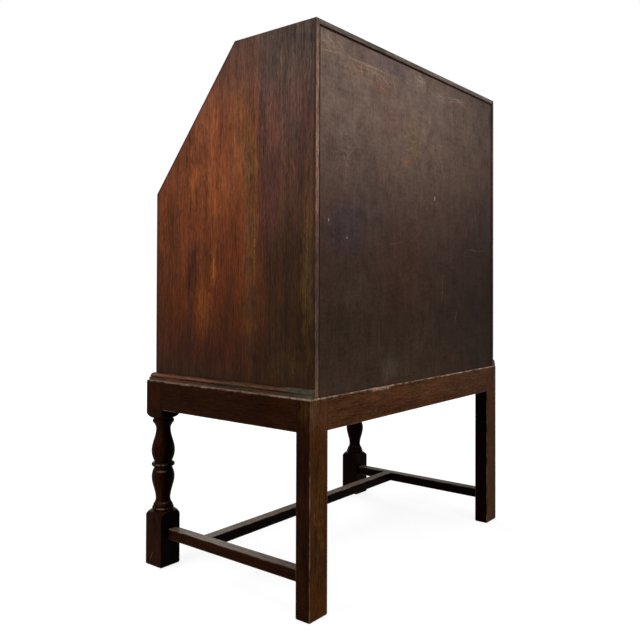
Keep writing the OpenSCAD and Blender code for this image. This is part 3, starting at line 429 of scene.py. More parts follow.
def stand_stain(tree):
    """Nearly black, browner on the back and dusty on top, with a few scars and red depths. It also paints
    shade on the faces that look in under the desk, a sheen on the dusty tops, and a highlight on the pale top
    arris, which is partly wear.
    """
    place = add(tree, "TexCoord")["Object"]
    at = add(tree, "SeparateXYZ", {0: place})
    from_side = add(tree, "CombineXYZ", {0: at[1], 1: at[2]})[0]
    from_back = add(tree, "CombineXYZ", {0: at[0], 1: at[2]})[0]
    side = patches(tree, linear("#251106"), from_side, (((-185, 335), (18, 34), "#3a120a", 0.7),
        ((-185, 40), (14, 44), "#35160a", 0.7), ((20, 345), (120, 14), "#2e180b", 0.6),
        ((-191, 238), (16, 20), "#3a0a06", 0.8), ((-191, 160), (16, 26), "#300c06", 0.7),
        ((188, 200), (6, 150), "#160702", 0.6), ((205, 60), (14, 70), "#2a1408", 0.6),
        ((202, 345), (16, 34), "#3d2810", 0.7), ((60, 372), (90, 8), "#3f1a12", 0.6)))
    side = scratches(tree, side, from_side, (((-189, 36), (-203, 6), 1.5, "#85512f", 0.8),))
    # Painted shade: the faces of the left side that look in under the desk are made nearly black
    inner_shade = add(tree, "MapRange", {"Value": at[0], 1: -0.1, 2: -0.2, 3: 0.0, 4: 0.85})[0]
    inner_shade = add(tree, "Math", {0: inner_shade, 1: facing(tree, 0)}, operation="MULTIPLY")[0]
    side = add(tree, "Mix", {0: inner_shade, 6: side, 7: linear("#060201")}, data_type="RGBA")[2]
    back = add(tree, "MapRange", {"Value": at[2], 1: RAIL_Z - 0.02, 2: RAIL_Z + 0.02})[0]
    back = add(tree, "Mix", {0: back, 6: linear("#48290e"), 7: linear("#51321d")}, data_type="RGBA")[2]
    back = patches(tree, back, from_back, (((334, 160), (9, 190), "#5a3c1c", 0.6),
        ((344, 350), (14, 40), "#5e4630", 0.5), ((91, 338), (60, 14), "#653520", 0.5),
        ((216, 345), (30, 22), "#40281a", 0.5), ((-332, 160), (40, 200), "#43290f", 0.7)))
    back = scratches(tree, back, from_back, (((180, 368), (108, 369), 6.0, "#c0947a", 1.0),
        ((-309, 258), (-309, 232), 1.6, "#8d6f55", 0.7), ((323, 330), (323, 60), 2.0, "#5f4426", 0.5)))
    # Painted shade: faces near the front that look back in under the desk are made nearly black
    out_of_painted_shade = add(tree, "MapRange", {"Value": at[1], 1: 0.0, 2: 0.17})[0]
    back = add(tree, "Mix", {0: out_of_painted_shade, 6: linear("#0b0402"), 7: back}, data_type="RGBA")[2]
    colour = add(tree, "Mix", {0: facing(tree, 1), 6: side, 7: back}, data_type="RGBA")[2]
    # Pale dust on the tops of the rails and the stretchers, but not on the turning; the same pale grey is
    # also a painted sheen on these tops
    on_rails = add(tree, "MapRange", {"Value": at[2], 1: RAIL_Z, 2: RAIL_Z + 0.01})[0]
    on_stretchers = add(tree, "MapRange", {"Value": at[2], 1: STRETCHER_TOP + 0.002, 2: STRETCHER_TOP + 0.004,
        3: 1.0, 4: 0.0})[0]
    dust_and_sheen = add(tree, "Math", {0: on_rails, 1: on_stretchers}, operation="MAXIMUM")[0]
    dust_and_sheen = add(tree, "Math", {0: dust_and_sheen, 1: facing(tree, 2)}, operation="MULTIPLY")[0]
    colour = add(tree, "Mix", {0: dust_and_sheen, 6: colour, 7: linear("#6a5e55")}, data_type="RGBA")[2]
    # The top arris carries a pale line in stretches of about 17 mm, most of all behind: partly
    # wear, where the case was slid on and off, and partly a painted highlight on the rounded arris
    line = add(tree, "MapRange", {"Value": at[2], 1: STAND_H - LINE_START, 2: STAND_H - LINE_FULL})[0]
    behind = add(tree, "MapRange", {"Value": at[1], 1: STAND_BACK - 0.005, 2: STAND_BACK - 0.003,
        3: 0.4, 4: 1.0})[0]
    broken = add(tree, "TexNoise", {"Vector": place, "Scale": 60.0, "Detail": 4.0})["Fac"]
    broken = add(tree, "MapRange", {"Value": broken, 1: 0.4, 2: 0.6, 3: 0.1, 4: 1.0})[0]
    beside_top = add(tree, "SeparateXYZ", {0: add(tree, "TexCoord")["Normal"]})[2]
    beside_top = add(tree, "MapRange", {"Value": beside_top, 1: 0.93, 2: 0.99, 3: 1.0, 4: 0.0})[0]
    for share in (behind, broken, beside_top):
        line = add(tree, "Math", {0: line, 1: share}, operation="MULTIPLY")[0]
    return add(tree, "Mix", {0: line, 6: colour, 7: linear("#b09280")}, data_type="RGBA")[2]


def off_the_joints(tree):
    """0 beside the planes where the rails meet the legs flush, and 1 elsewhere."""
    at = add(tree, "SeparateXYZ", {0: add(tree, "TexCoord")["Object"]})
    across = add(tree, "Math", {0: at[0]}, operation="ABSOLUTE")[0]
    near = 1.0
    for place, joint in ((across, LEG_IN), (at[1], LEG_BACK), (at[1], REAR_LEG_FRONT)):
        off = add(tree, "Math", {0: place, 1: joint}, operation="SUBTRACT")[0]
        off = add(tree, "Math", {0: off}, operation="ABSOLUTE")[0]
        near = add(tree, "Math", {0: near, 1: off}, operation="MINIMUM")[0]
    clear = add(tree, "MapRange", {"Value": near, 1: 0.0025, 2: 0.004})[0]
    below = add(tree, "MapRange", {"Value": at[2], 1: RAIL_Z - 0.003, 2: RAIL_Z, 3: 1.0, 4: 0.0})[0]
    return add(tree, "Math", {0: clear, 1: below}, operation="MAXIMUM")[0]


# Polished by hand over the stain: a soft, deep black with warm brown arrises, and a painted highlight on the
# turned crests
stained_oak = oak("stained_oak_hand_polished", stand_stain, "#8f7264", figure=0.6, roughness=0.38,
    specular=0.008, wear=0.65, joints=off_the_joints)


# Turned front legs
# Each is one square of oak, turned between its head and foot blocks into two opposed
# vases about a ring, with beads and coves. The shoulders of the blocks are turned too.
# Half its square, and the heights and radii of its turning, follow in mm.
HALF_SQUARE = (LEG_OUT - LEG_IN) / 2 / MM
FOOT_BLOCK_TOP = 110
HEAD_BLOCK_DROP = 18.5
BELLY_R = HALF_SQUARE - 0.8
LOW_BELLY_R = BELLY_R - 0.5
RING_R = HALF_SQUARE - 1
BEAD_R = HALF_SQUARE - 2.4
FILLET_R = HALF_SQUARE - 4.5
NECK_R, WAIST_R = 14.5, 17.5
BEAD_H, FILLET_H, COVE_H, RING_H, LOW_ROUND_H, HIGH_ROUND_H = 7, 3, 12.5, 11, 19, 22
QUIRK_H = 1
SHOULDER_H = 10
SHOULDER_IN_R = FILLET_R - 1.5
TOP_ARRIS_R = 3.5
FOOT_ARRIS_R = 3.5
ARRIS = 1.1
# The flat steps that each curve is drawn in
CURVE_STEPS, SIDE_STEPS, CORNER_STEPS, ARC_STEPS = 10, 22, 4, 5
TURNS = [i / CURVE_STEPS for i in range(1, CURVE_STEPS + 1)]

head_block_z = RAIL_Z / MM - HEAD_BLOCK_DROP
short_parts_h = 2 * (BEAD_H + FILLET_H + COVE_H) + RING_H + LOW_ROUND_H + HIGH_ROUND_H
taper_h = (head_block_z - FOOT_BLOCK_TOP - short_parts_h) / 2
z_low_fillet = FOOT_BLOCK_TOP + BEAD_H
z_low_cove = z_low_fillet + FILLET_H
z_low_neck = z_low_cove + COVE_H
z_low_belly = z_low_neck + taper_h
z_ring = z_low_belly + LOW_ROUND_H
z_ring_top = z_ring + RING_H
z_high_belly = z_ring_top + HIGH_ROUND_H
z_high_neck = z_high_belly + taper_h
z_high_bead = z_high_neck + COVE_H
z_high_fillet = z_high_bead + BEAD_H


def s_curve(r0, r1, z0, z1):
    """From one radius and height to the next, in line with the leg at both ends."""
    return [(r0 + (r1 - r0) * (1 - math.cos(math.pi * t)) / 2, z0 + (z1 - z0) * t) for t in TURNS]


def flat_start(r0, r1, z0, z1):
    """From one radius and height to the next, in line with the leg at the start only."""
    return [(r0 + (r1 - r0) * (1 - math.cos(math.pi / 2 * t)), z0 + (z1 - z0) * t) for t in TURNS]


def flat_end(r0, r1, z0, z1):
    """From one radius and height to the next, in line with the leg at the end only."""
    return [(r0 + (r1 - r0) * math.sin(math.pi / 2 * t), z0 + (z1 - z0) * t) for t in TURNS]


def bead(r0, r1, z0, z1):
    """A half round that stands out from a radius."""
    return [(r0 + (r1 - r0) * math.sin(math.pi * t), z0 + (z1 - z0) * (1 - math.cos(math.pi * t)) / 2)
        for t in (0, *TURNS)]


turning = [
    *bead(FILLET_R, BEAD_R, FOOT_BLOCK_TOP, z_low_fillet),
    (FILLET_R, z_low_cove),
    *flat_end(FILLET_R, NECK_R, z_low_cove, z_low_neck),
    *s_curve(NECK_R, LOW_BELLY_R, z_low_neck, z_low_belly),
    *flat_start(LOW_BELLY_R, WAIST_R, z_low_belly, z_ring),
    *bead(WAIST_R, RING_R, z_ring + QUIRK_H, z_ring_top - QUIRK_H),
    (WAIST_R, z_ring_top),
    *flat_end(WAIST_R, BELLY_R, z_ring_top, z_high_belly),
    *s_curve(BELLY_R, NECK_R, z_high_belly, z_high_neck),
    *flat_start(NECK_R, FILLET_R, z_high_neck, z_high_bead),
    *bead(FILLET_R, BEAD_R, z_high_bead, z_high_fillet),
    (FILLET_R, head_block_z)]


def square_outline():
    """Points round the square of the leg, with its arrises just rounded."""
    corner = HALF_SQUARE - ARRIS
    points = []
    for quarter in range(4):
        arcs = []
        for turn in (quarter, quarter + 1):
            diagonal = math.pi / 2 * (turn + 0.5)
            middle = [corner * math.copysign(1, wave(diagonal)) for wave in (math.cos, math.sin)]
            angles = [math.pi / 2 * (turn + i / CORNER_STEPS) for i in range(CORNER_STEPS + 1)]
            arcs.append([(middle[0] + ARRIS * math.cos(a), middle[1] + ARRIS * math.sin(a)) for a in angles])
        points += arcs[0]
        points += [[a + (b - a) * i / SIDE_STEPS for a, b in zip(arcs[0][-1], arcs[1][0])]
            for i in range(1, SIDE_STEPS)]
    return np.array(points)


outline = square_outline()
reach = np.hypot(*outline.T)
heading = outline / reach[:, None]
around = len(outline)


def shoulder_drop(r):
    """How far the arc that rounds a block over lies below its top, at a radius."""
    run = math.hypot(HALF_SQUARE, HALF_SQUARE) - SHOULDER_IN_R
    arc_r = (run ** 2 + SHOULDER_H ** 2) / (2 * SHOULDER_H)
    return arc_r - np.sqrt(arc_r ** 2 - np.maximum(r - SHOULDER_IN_R, 0) ** 2)


def leg_rings():
    """Rings of points from the foot to the top of a right front leg, about its own axis."""
    shoulder = [reach + (FILLET_R - reach) * share for share in (0, 0.25, 0.5, 0.75, 1)]
    # The foot is rounded under, where the desk was dragged
    rings = []
    for i in range(ARC_STEPS + 1):
        turn = math.pi / (2 * ARC_STEPS) * i
        drawn_in = 1 - FOOT_ARRIS_R * (1 - math.sin(turn)) / HALF_SQUARE
        rings.append((outline * drawn_in, np.full(around, FOOT_ARRIS_R * (1 - math.cos(turn)))))
    rings += [(heading * r[:, None], FOOT_BLOCK_TOP - shoulder_drop(r)) for r in shoulder]
    rings += [(heading * r, np.full(around, z)) for r, z in turning]
    rings += [(heading * r[:, None], head_block_z + shoulder_drop(r)) for r in shoulder[::-1]]
    # The top arris of the stand is rounded on its outer two sides
    for i in range(ARC_STEPS + 1):
        rise = TOP_ARRIS_R * math.sin(math.pi / (2 * ARC_STEPS) * i)
        drawn_in = HALF_SQUARE - TOP_ARRIS_R + math.sqrt(max(TOP_ARRIS_R ** 2 - rise ** 2, 0))
        rounded = outline.copy()
        rounded[:, 0] = np.minimum(rounded[:, 0], drawn_in)
        rounded[:, 1] = np.maximum(rounded[:, 1], -drawn_in)
        rings.append((rounded, np.full(around, STAND_H / MM - TOP_ARRIS_R + rise)))
    return rings


rings = leg_rings()
# Heights of the painted highlight lines on the turning, in mm
crests = (FOOT_BLOCK_TOP + 0.6 * BEAD_H, z_low_cove + 0.4 * COVE_H,
    z_low_belly + 0.65 * LOW_ROUND_H, z_ring + 0.6 * RING_H)
HIGHLIGHT_SIDE = np.array((0.76, 0.65))
for side, node in ((1, "front_leg_right"), (-1, "front_leg_left")):
    axis_x, axis_y = LEG_IN + HALF_SQUARE * MM, LEG_FRONT + HALF_SQUARE * MM
    points = [(side * (axis_x + x * MM), axis_y + y * MM, z * MM)
        for ring, zs in rings for (x, y), z in zip(ring, zs)]
    faces = [tuple(range(around))[::-1], tuple(range(len(points) - around, len(points)))]
    for k in range(len(rings) - 1):
        for i in range(around):
            j = (i + 1) % around
            faces.append((k * around + i, k * around + j, (k + 1) * around + j, (k + 1) * around + i))
    if side < 0:
        faces = [face[::-1] for face in faces]
    leg = bpy.data.meshes.new(node + "_turned")
    leg.from_pydata(points, [], faces)
    leg.polygons.foreach_set("use_smooth", [True] * len(leg.polygons))
    leg.set_sharp_from_angle(angle=SHARP)
    square_planes = ((0, side * LEG_IN / MM), (0, side * LEG_OUT / MM),
        (1, LEG_FRONT / MM), (1, LEG_BACK / MM))
    give_grain(leg, node, along=2, joints=square_planes)
    # A painted highlight on the crests and on the lower cove, strongest on one side of the leg and fainter
    # round the rest
    highlight_falloff = 1.3 * (1 - np.clip(heading @ HIGHLIGHT_SIDE, 0, 1) ** 6)
    wear_and_highlight = [(min(abs(zs[0] - crest) for crest in crests) + highlight_falloff) * MM for _, zs in rings]
    leg.attributes["crest"].data.foreach_set("value", np.concatenate(wear_and_highlight).astype(np.float32))
    put_in_place(leg, node, stained_oak)


# Rest of the stand
# Plain rear legs, four rails tenoned into the legs and flush with them, and a low H of
# stretchers that ties the four feet together.
FRONT_JOINT, REAR_JOINT, SIDE_JOINT = LEG_BACK / MM, REAR_LEG_FRONT / MM, LEG_IN / MM
CROSS_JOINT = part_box("side_stretcher_right")[0].x / MM
for node in ("rear_leg_left", "rear_leg_right"):
    eased(node, stained_oak, "oak_stand", arris=ARRIS, foot=FOOT_ARRIS_R)
for node in ("stand_front_rail", "stand_back_rail"):
    eased(node, stained_oak, "oak_stand", arris=ARRIS, tight=((0, -SIDE_JOINT), (0, SIDE_JOINT)))
for node in ("stand_side_rail_left", "stand_side_rail_right", "side_stretcher_left", "side_stretcher_right"):
    eased(node, stained_oak, "oak_stand", arris=ARRIS, tight=((1, FRONT_JOINT), (1, REAR_JOINT)))
eased("cross_stretcher", stained_oak, "oak_stand", arris=ARRIS, tight=((0, -CROSS_JOINT), (0, CROSS_JOINT)))


# Moulding
# An ovolo over a flat band, glued and pinned on the ledge of the stand round the foot of
# the case, and mitred at the front corners. Its crest is redder than the case, with a painted highlight.
MOULDING_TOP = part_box("stand_moulding")[1].z


def moulding_polish(tree):
    """Painted shade in the quirk and under the case, redder on the crest with a painted highlight, and greyer
    towards the rear.
    """
    at = add(tree, "SeparateXYZ", {0: add(tree, "TexCoord")["Object"]})
    height = add(tree, "MapRange", {"Value": at[2], 1: STAND_H, 2: MOULDING_TOP})[0]
    # The ramp paints shade in the quirk and under the foot of the case, and a highlight on the upper part of
    # the ovolo
    colour = add(tree, "ValToRGB", {0: height}, stops=(
        (0.0, "#5e4637"), (0.08, "#452c1e"), (0.34, "#40281a"), (0.42, "#1f1009"),
        (0.5, "#3d2216"), (0.7, "#6d4637"), (0.86, "#472b20"), (1.0, "#24160e")))[0]
    flat = add(tree, "CombineXYZ", {0: at[1], 1: at[2]})[0]
    return patches(tree, colour, flat, (
        ((205, 383), (80, 40), "#423f33", 0.9), ((-150, 376), (60, 12), "#5a3022", 0.5),
        ((40, 376), (90, 10), "#43351f", 0.6), ((60, 390), (60, 12), "#4a2c20", 0.6)))


# The polish of the case, with a low shine; the darkness in the hollows is painted shade
moulding_oak = oak("moulding_oak_polished", moulding_polish, "#745142", figure=0.6, roughness=0.4, wear=0.35)
eased("stand_moulding", moulding_oak, "oak_stand", arris=0.5)


# Corner blocks and screws
# Plain unpolished oak blocks glued into the corners of the stand, with a steel screw up
# through each into the case.
# The oak is as it came from the plane: pale and dry, with hardly a gloss and faint pores.
raw_oak = oak("oak_unpolished_planed", "#9a7348", "#a98355", figure=0.3, roughness=0.72, specular=0.2,
    wear=0.2, pore_depth=0.35)
eased("corner_blocks", raw_oak, "oak_inside", arris=0.8)

# Plain turned steel, gone dull: a soft broken gloss with a brown bloom, in spots of 4 mm
dull_steel, tree, shader = new_finish("dull_turned_steel")
place = add(tree, "TexCoord")["Object"]
bloom = add(tree, "TexNoise", {"Vector": place, "Scale": 260.0, "Detail": 4.0})["Fac"]
bloom = add(tree, "MapRange", {"Value": bloom, 1: 0.45, 2: 0.7})[0]
colour = add(tree, "Mix", {0: bloom, 6: linear("#8b8880"), 7: linear("#54483c")}, data_type="RGBA")[2]
tree.links.new(colour, shader.inputs["Base Color"])
gloss = add(tree, "MapRange", {"Value": bloom, 3: 0.34, 4: 0.6})[0]
tree.links.new(gloss, shader.inputs["Roughness"])
shader.inputs["Metallic"].default_value = 1.0
eased("case_screws", dull_steel, "steel", arris=0)


# Case sides
# Each side is glued up from two oak boards with the grain upright. The front board kept a
# warm, brighter polish, and the rear one has gone greyer; both darken towards the stand, partly in their own
# tone and partly as painted shade.
CASE_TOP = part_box("case_top")[1].z
CASE_FRONT, CASE_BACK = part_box("case_side_right")[0].y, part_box("case_side_right")[1].y
# The slope starts this high on the front edge, and ends this far back at the top, in metres
CORNER, TOP_FRONT = 0.748, 0.020
# The glued seam of the two boards lies this far behind the middle
SEAM = 0.083
REBATE_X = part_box("back_panel")[1].x
slope = math.atan2(CASE_TOP - CORNER, TOP_FRONT - CASE_FRONT)


def two_boards(tree):
    """The colours of the two boards, from the foot of the case to its top."""
    place = add(tree, "TexCoord")["Object"]
    at = add(tree, "SeparateXYZ", {0: place})
    height = add(tree, "MapRange", {"Value": at[2], 1: STAND_H, 2: CASE_TOP})[0]
    # Both ramps darken towards the stand, partly the tone of the boards and partly painted shade
    front = add(tree, "ValToRGB", {0: height}, stops=((0.0, "#2a1609"), (0.1, "#38190a"), (0.25, "#52260e"),
        (0.5, "#66331a"), (0.72, "#764026"), (0.86, "#6c402c"), (1.0, "#543b33")))[0]
    rear = add(tree, "ValToRGB", {0: height}, stops=((0.0, "#2f1a0a"), (0.2, "#301a0a"), (0.4, "#3d2414"),
        (0.6, "#4d3024"), (0.75, "#56392f"), (0.9, "#544038"), (1.0, "#503f38")))[0]
    # The seam is clear at the top, and fades lower down where the polish is thicker
    spread = add(tree, "MapRange", {"Value": at[2], 1: 0.62, 2: 0.9, 3: 0.026, 4: 0.013})[0]
    behind = add(tree, "Math", {0: at[1], 1: SEAM}, operation="SUBTRACT")[0]
    behind = add(tree, "Math", {0: behind, 1: spread}, operation="DIVIDE")[0]
    behind = add(tree, "Math", {0: behind, 1: 0.5, 2: 0.5}, operation="MULTIPLY_ADD", use_clamp=True)
    colour = add(tree, "Mix", {0: behind[0], 6: front, 7: rear}, data_type="RGBA")[2]
    flat = add(tree, "CombineXYZ", {0: at[1], 1: at[2]})[0]
    colour = patches(tree, colour, flat, (
        ((62, 700), (24, 380), "#6a4424", 0.5), ((196, 610), (20, 240), "#4d371b", 0.6),
        ((-37, 860), (34, 90), "#84482a", 0.5), ((-95, 765), (22, 60), "#8f4d22", 0.6),
        ((40, 850), (36, 120), "#7d4d2c", 0.5), ((-30, 740), (30, 120), "#834722", 0.5),
        ((-34, 600), (14, 60), "#834822", 0.5), ((-62, 525), (36, 70), "#703c14", 0.6),
        ((-90, 617), (14, 45), "#2c1812", 0.7), ((11, 525), (26, 80), "#3a1f12", 0.5),
        ((-175, 560), (24, 110), "#43210f", 0.5), ((-165, 690), (30, 80), "#57290f", 0.5),
        ((118, 840), (26, 80), "#683c33", 0.6), ((112, 700), (24, 110), "#58302a", 0.5),
        ((168, 850), (22, 60), "#463630", 0.5), ((150, 610), (20, 120), "#33200f", 0.5),
        ((143, 490), (36, 90), "#2a1a0c", 0.5), ((-60, 394), (170, 16), "#2a1c10", 0.6),
        ((150, 420), (60, 30), "#3c2a13", 0.5), ((60, 525), (30, 60), "#3a2412", 0.8),
        ((60, 595), (22, 40), "#4a2d16", 0.8), ((60, 455), (30, 40), "#331c0e", 0.8),
        ((60, 660), (22, 70), "#503620", 0.6), ((50, 950), (40, 60), "#553a2e", 0.6),
        ((-160, 650), (40, 90), "#4c2712", 0.7), ((-60, 670), (50, 60), "#5c2e17", 0.4),
        ((106, 965), (26, 60), "#47362f", 0.7), ((60, 790), (24, 60), "#7d5530", 0.6)))
    colour = scratches(tree, colour, flat, (
        ((71, 760), (74, 560), 3.0, "#96602f", 0.6), ((-101, 800), (-103, 700), 4.0, "#a05c2c", 0.5),
        ((52, 960), (50, 760), 4.0, "#7a5030", 0.5), ((93, 880), (92, 740), 4.0, "#5d4b47", 0.6),
        ((-34, 650), (-36, 540), 3.5, "#955828", 0.5), ((-60, 840), (-62, 690), 4.0, "#904e26", 0.4),
        ((196, 700), (193, 500), 4.0, "#6e4f2a", 0.4), ((20, 900), (18, 720), 3.0, "#8a5832", 0.4),
        ((120, 815), (150, 740), 2.2, "#35211c", 0.6), ((134, 816), (168, 742), 2.2, "#35211c", 0.6),
        ((150, 812), (186, 745), 2.2, "#35211c", 0.5), ((107, 800), (128, 735), 2.2, "#35211c", 0.4),
        ((127, 812), (160, 741), 1.6, "#6d4b42", 0.4), ((142, 814), (177, 742), 1.6, "#6d4b42", 0.4)))
    # Dark lines along the edge that slants, down the front edge and beside the back
    rise = add(tree, "VectorMath", {0: place, 1: (0, CASE_FRONT, CORNER)}, operation="SUBTRACT")[0]
    rise = add(tree, "VectorMath", {0: rise, 1: (0, -math.sin(slope), math.cos(slope))},
        operation="DOT_PRODUCT")["Value"]
    for value, start, full, strength, tint in (
            (rise, -0.006, -0.002, 0.75, "#24211a"),
            (at[1], CASE_FRONT + 0.012, CASE_FRONT + 0.002, 0.7, "#24140f"),
            (at[1], CASE_BACK - 0.007, CASE_BACK - 0.003, 0.7, "#301d0e")):
        line = add(tree, "MapRange", {"Value": value, 1: start, 2: full, 3: 0.0, 4: strength})[0]
        colour = add(tree, "Mix", {0: line, 6: colour, 7: linear(tint)}, data_type="RGBA")[2]
    # The edge behind, beside the back, is rubbed through to a pinkish brown, in spots of
    # 5 mm and streaks of 25 mm, with red stain left in the corner of the rebate. The left
    # one stayed dark
    lip = add(tree, "ValToRGB", {0: height}, stops=((0.0, "#6b5448"), (0.3, "#5c443a"), (0.45, "#805e50"),
        (0.6, "#9f7866"), (0.8, "#ab8676"), (0.92, "#8a6f64"), (1.0, "#75645a")))[0]
    for scales, share in (((700, 1, 40), 1.6), ((200, 1, 160), 1.0)):
        spots = add(tree, "VectorMath", {0: place, 1: scales}, operation="MULTIPLY")[0]
        spots = add(tree, "TexNoise", {"Vector": spots, "Scale": 1.0, "Detail": 3.0})["Fac"]
        spots = add(tree, "Math", {0: spots, 1: share, 2: 1 - share / 2}, operation="MULTIPLY_ADD")[0]
        lip = add(tree, "VectorMath", {0: lip, "Scale": spots}, operation="SCALE")[0]
    across = add(tree, "Math", {0: at[0]}, operation="ABSOLUTE")[0]
    red = add(tree, "MapRange", {"Value": across, 1: REBATE_X + 0.0005, 2: REBATE_X + 0.0015,
        3: 0.8, 4: 0.0})[0]
    lip = add(tree, "Mix", {0: red, 6: lip, 7: linear("#3a1410")}, data_type="RGBA")[2]
    near_side = add(tree, "MapRange", {"Value": at[0], 1: -0.1, 2: 0.1, 3: 0.3, 4: 1.0})[0]
    lip = add(tree, "VectorMath", {0: lip, "Scale": near_side}, operation="SCALE")[0]
    return add(tree, "Mix", {0: facing(tree, 1), 6: colour, 7: lip}, data_type="RGBA")[2]


# A thin polish, wiped on: a low, even shine that lets the bands and the pores show
case_side_oak = oak("case_side_oak_thin_polish", two_boards, "#9a7c6d", figure=0.6, roughness=0.46, wear=0.2)
for node in ("case_side_left", "case_side_right"):
    eased(node, case_side_oak, "oak_case", along=2, tight=((2, STAND_H / MM),),
        unworn=((1, CASE_FRONT / MM), (2, CASE_TOP / MM)))


# Case top
# One oak board let into the sides by tongues. Its front edge is square to the slope and
# its rear edge, rebated over the back, has gone grey.
# The boards that face the front have the same thin polish, and a quieter figure.
case_oak = oak("case_oak_thin_polish", "#5c3521", "#80614c", figure=0.4, roughness=0.42, specular=0.08)


def top_board(tree):
    """The colour of the case, with the rear edge gone grey."""
    shades = {0: facing(tree, 1), 6: linear("#5c3521"), 7: linear("#625850")}
    return add(tree, "Mix", shades, data_type="RGBA")[2]


top_oak = oak("top_oak_thin_polish", top_board, "#6b6258", figure=0.7, roughness=0.42, specular=0.08)
INNER_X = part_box("fitment_shelf")[1].x / MM
SIDE_PLANES = ((0, -INNER_X), (0, INNER_X))
eased("case_top", top_oak, "oak_case", tight=(*SIDE_PLANES, (0, -REBATE_X / MM), (0, REBATE_X / MM)))


# Bottom, rails and writing board
# The boards inside the case run from side to side in stopped housings. What shows at the
# front is polished; the bottom, the runners and the blocks were left as planed.
for node in ("writing_board", "upper_drawer_rail", "lower_drawer_rail"):
    eased(node, case_oak, "oak_case", arris=0.6, tight=SIDE_PLANES)
eased("loper_partitions", case_oak, "oak_case", arris=0.5)
eased("case_bottom", raw_oak, "oak_inside", arris=0.6)
eased("drawer_runners", raw_oak, "oak_inside", arris=0.6)


# Back
# A sheet of thin plywood, pinned in the rebates, stained brown and never polished. It
# has gone matt and cloudy, and carries scratches, rubs and flecks of paint.
stained_ply, tree, shader = new_finish("plywood_stained_matt")
at = add(tree, "SeparateXYZ", {0: add(tree, "TexCoord")["Object"]})
flat = add(tree, "CombineXYZ", {0: at[0], 1: at[2]})[0]
height = add(tree, "MapRange", {"Value": at[2], 1: STAND_H, 2: CASE_TOP})[0]
colour = add(tree, "ValToRGB", {0: height}, stops=((0.0, "#403026"), (0.2, "#382a20"), (0.4, "#47352d"),
    (0.55, "#5a463d"), (0.72, "#745e52"), (0.84, "#7d685c"), (1.0, "#7a665c")))[0]
far_side = add(tree, "MapRange", {"Value": at[0], 1: -0.31, 2: 0.0, 3: 0.56, 4: 1.0})[0]
colour = add(tree, "VectorMath", {0: colour, "Scale": far_side}, operation="SCALE")[0]
colour = patches(tree, colour, flat, (
    ((253, 665), (80, 70), "#3d3440", 0.45), ((-309, 714), (34, 120), "#3a333c", 0.4),
    ((110, 990), (90, 22), "#66585e", 0.5), ((184, 737), (70, 110), "#4b4540", 0.3),
    ((60, 600), (110, 130), "#4a2d22", 0.35), ((110, 888), (60, 40), "#7c5a50", 0.4),
    ((140, 938), (50, 24), "#8a6152", 0.45), ((215, 957), (40, 16), "#866450", 0.4),
    ((28, 858), (34, 62), "#74603f", 0.45), ((52, 812), (34, 12), "#8a6046", 0.4),
    ((0, 987), (34, 12), "#94857a", 0.4), ((-160, 977), (60, 12), "#86695a", 0.4),
    ((304, 989), (30, 18), "#8a766a", 0.5), ((-328, 960), (24, 40), "#33303a", 0.6),
    ((255, 836), (44, 40), "#7a6c62", 0.35), ((108, 405), (50, 30), "#54483f", 0.5),
    ((-250, 480), (90, 120), "#2c241f", 0.4), ((230, 560), (70, 60), "#46382f", 0.4)))
# The face veneer is 1 mm thick with its grain upright: cloudy and mottled at 60, 25 and
# 7 mm, with faint streaks and the fine cross marks of the sander
streaks = 1.0
for across, along, detail, share in ((3, 46, 3, 0.3), (16, 160, 3, 0.18), (60, 70, 4, 0.38), (22, 28, 4, 0.4),
        (40, 3, 2, 0.2), (6, 7, 3, 0.42)):
    stretch = (METRE / across, METRE / along, 0)
    stretched = add(tree, "VectorMath", {0: flat, 1: stretch}, operation="MULTIPLY")[0]
    veneer = add(tree, "TexNoise", {"Vector": stretched, "Scale": 1.0, "Detail": detail})["Fac"]
    swing = add(tree, "Math", {0: veneer, 1: -0.5}, operation="ADD")[0]
    streaks = add(tree, "Math", {0: swing, 1: 2 * share, 2: streaks}, operation="MULTIPLY_ADD")[0]
colour = add(tree, "VectorMath", {0: colour, "Scale": streaks}, operation="SCALE")[0]
# Scuffs: nests of fine curved lines along the top, where things stood against the back
nests = patches(tree, (0, 0, 0, 1), flat, (
    ((200, 960), (150, 26), "#ffffff", 1.0), ((306, 984), (50, 26), "#ffffff", 1.0),
    ((-110, 972), (120, 18), "#ffffff", 0.8), ((0, 985), (40, 16), "#ffffff", 1.0),
    ((40, 850), (40, 50), "#ffffff", 0.5), ((256, 810), (40, 80), "#ffffff", 0.3)))
for across, along, seed in ((70, 12, 0.3), (16, 60, 5.1), (110, 22, 9.7)):
    stretch = (METRE / across, METRE / along, 0)
    bent = add(tree, "VectorMath", {0: flat, 1: stretch, 2: (seed, seed, 0)}, operation="MULTIPLY_ADD")[0]
    bent = add(tree, "TexNoise", {"Vector": bent, "Scale": 1.0, "Detail": 3.0})["Fac"]
    bent = add(tree, "Math", {0: bent, 1: -0.5}, operation="ADD")[0]
    bent = add(tree, "Math", {0: bent}, operation="ABSOLUTE")[0]
    scuff = add(tree, "MapRange", {"Value": bent, 1: 0.004, 2: 0.016, 3: 0.5, 4: 0.0})[0]
    scuff = add(tree, "Math", {0: scuff, 1: nests}, operation="MULTIPLY")[0]
    colour = add(tree, "Mix", {0: scuff, 6: colour, 7: linear("#a88b7a")}, data_type="RGBA")[2]
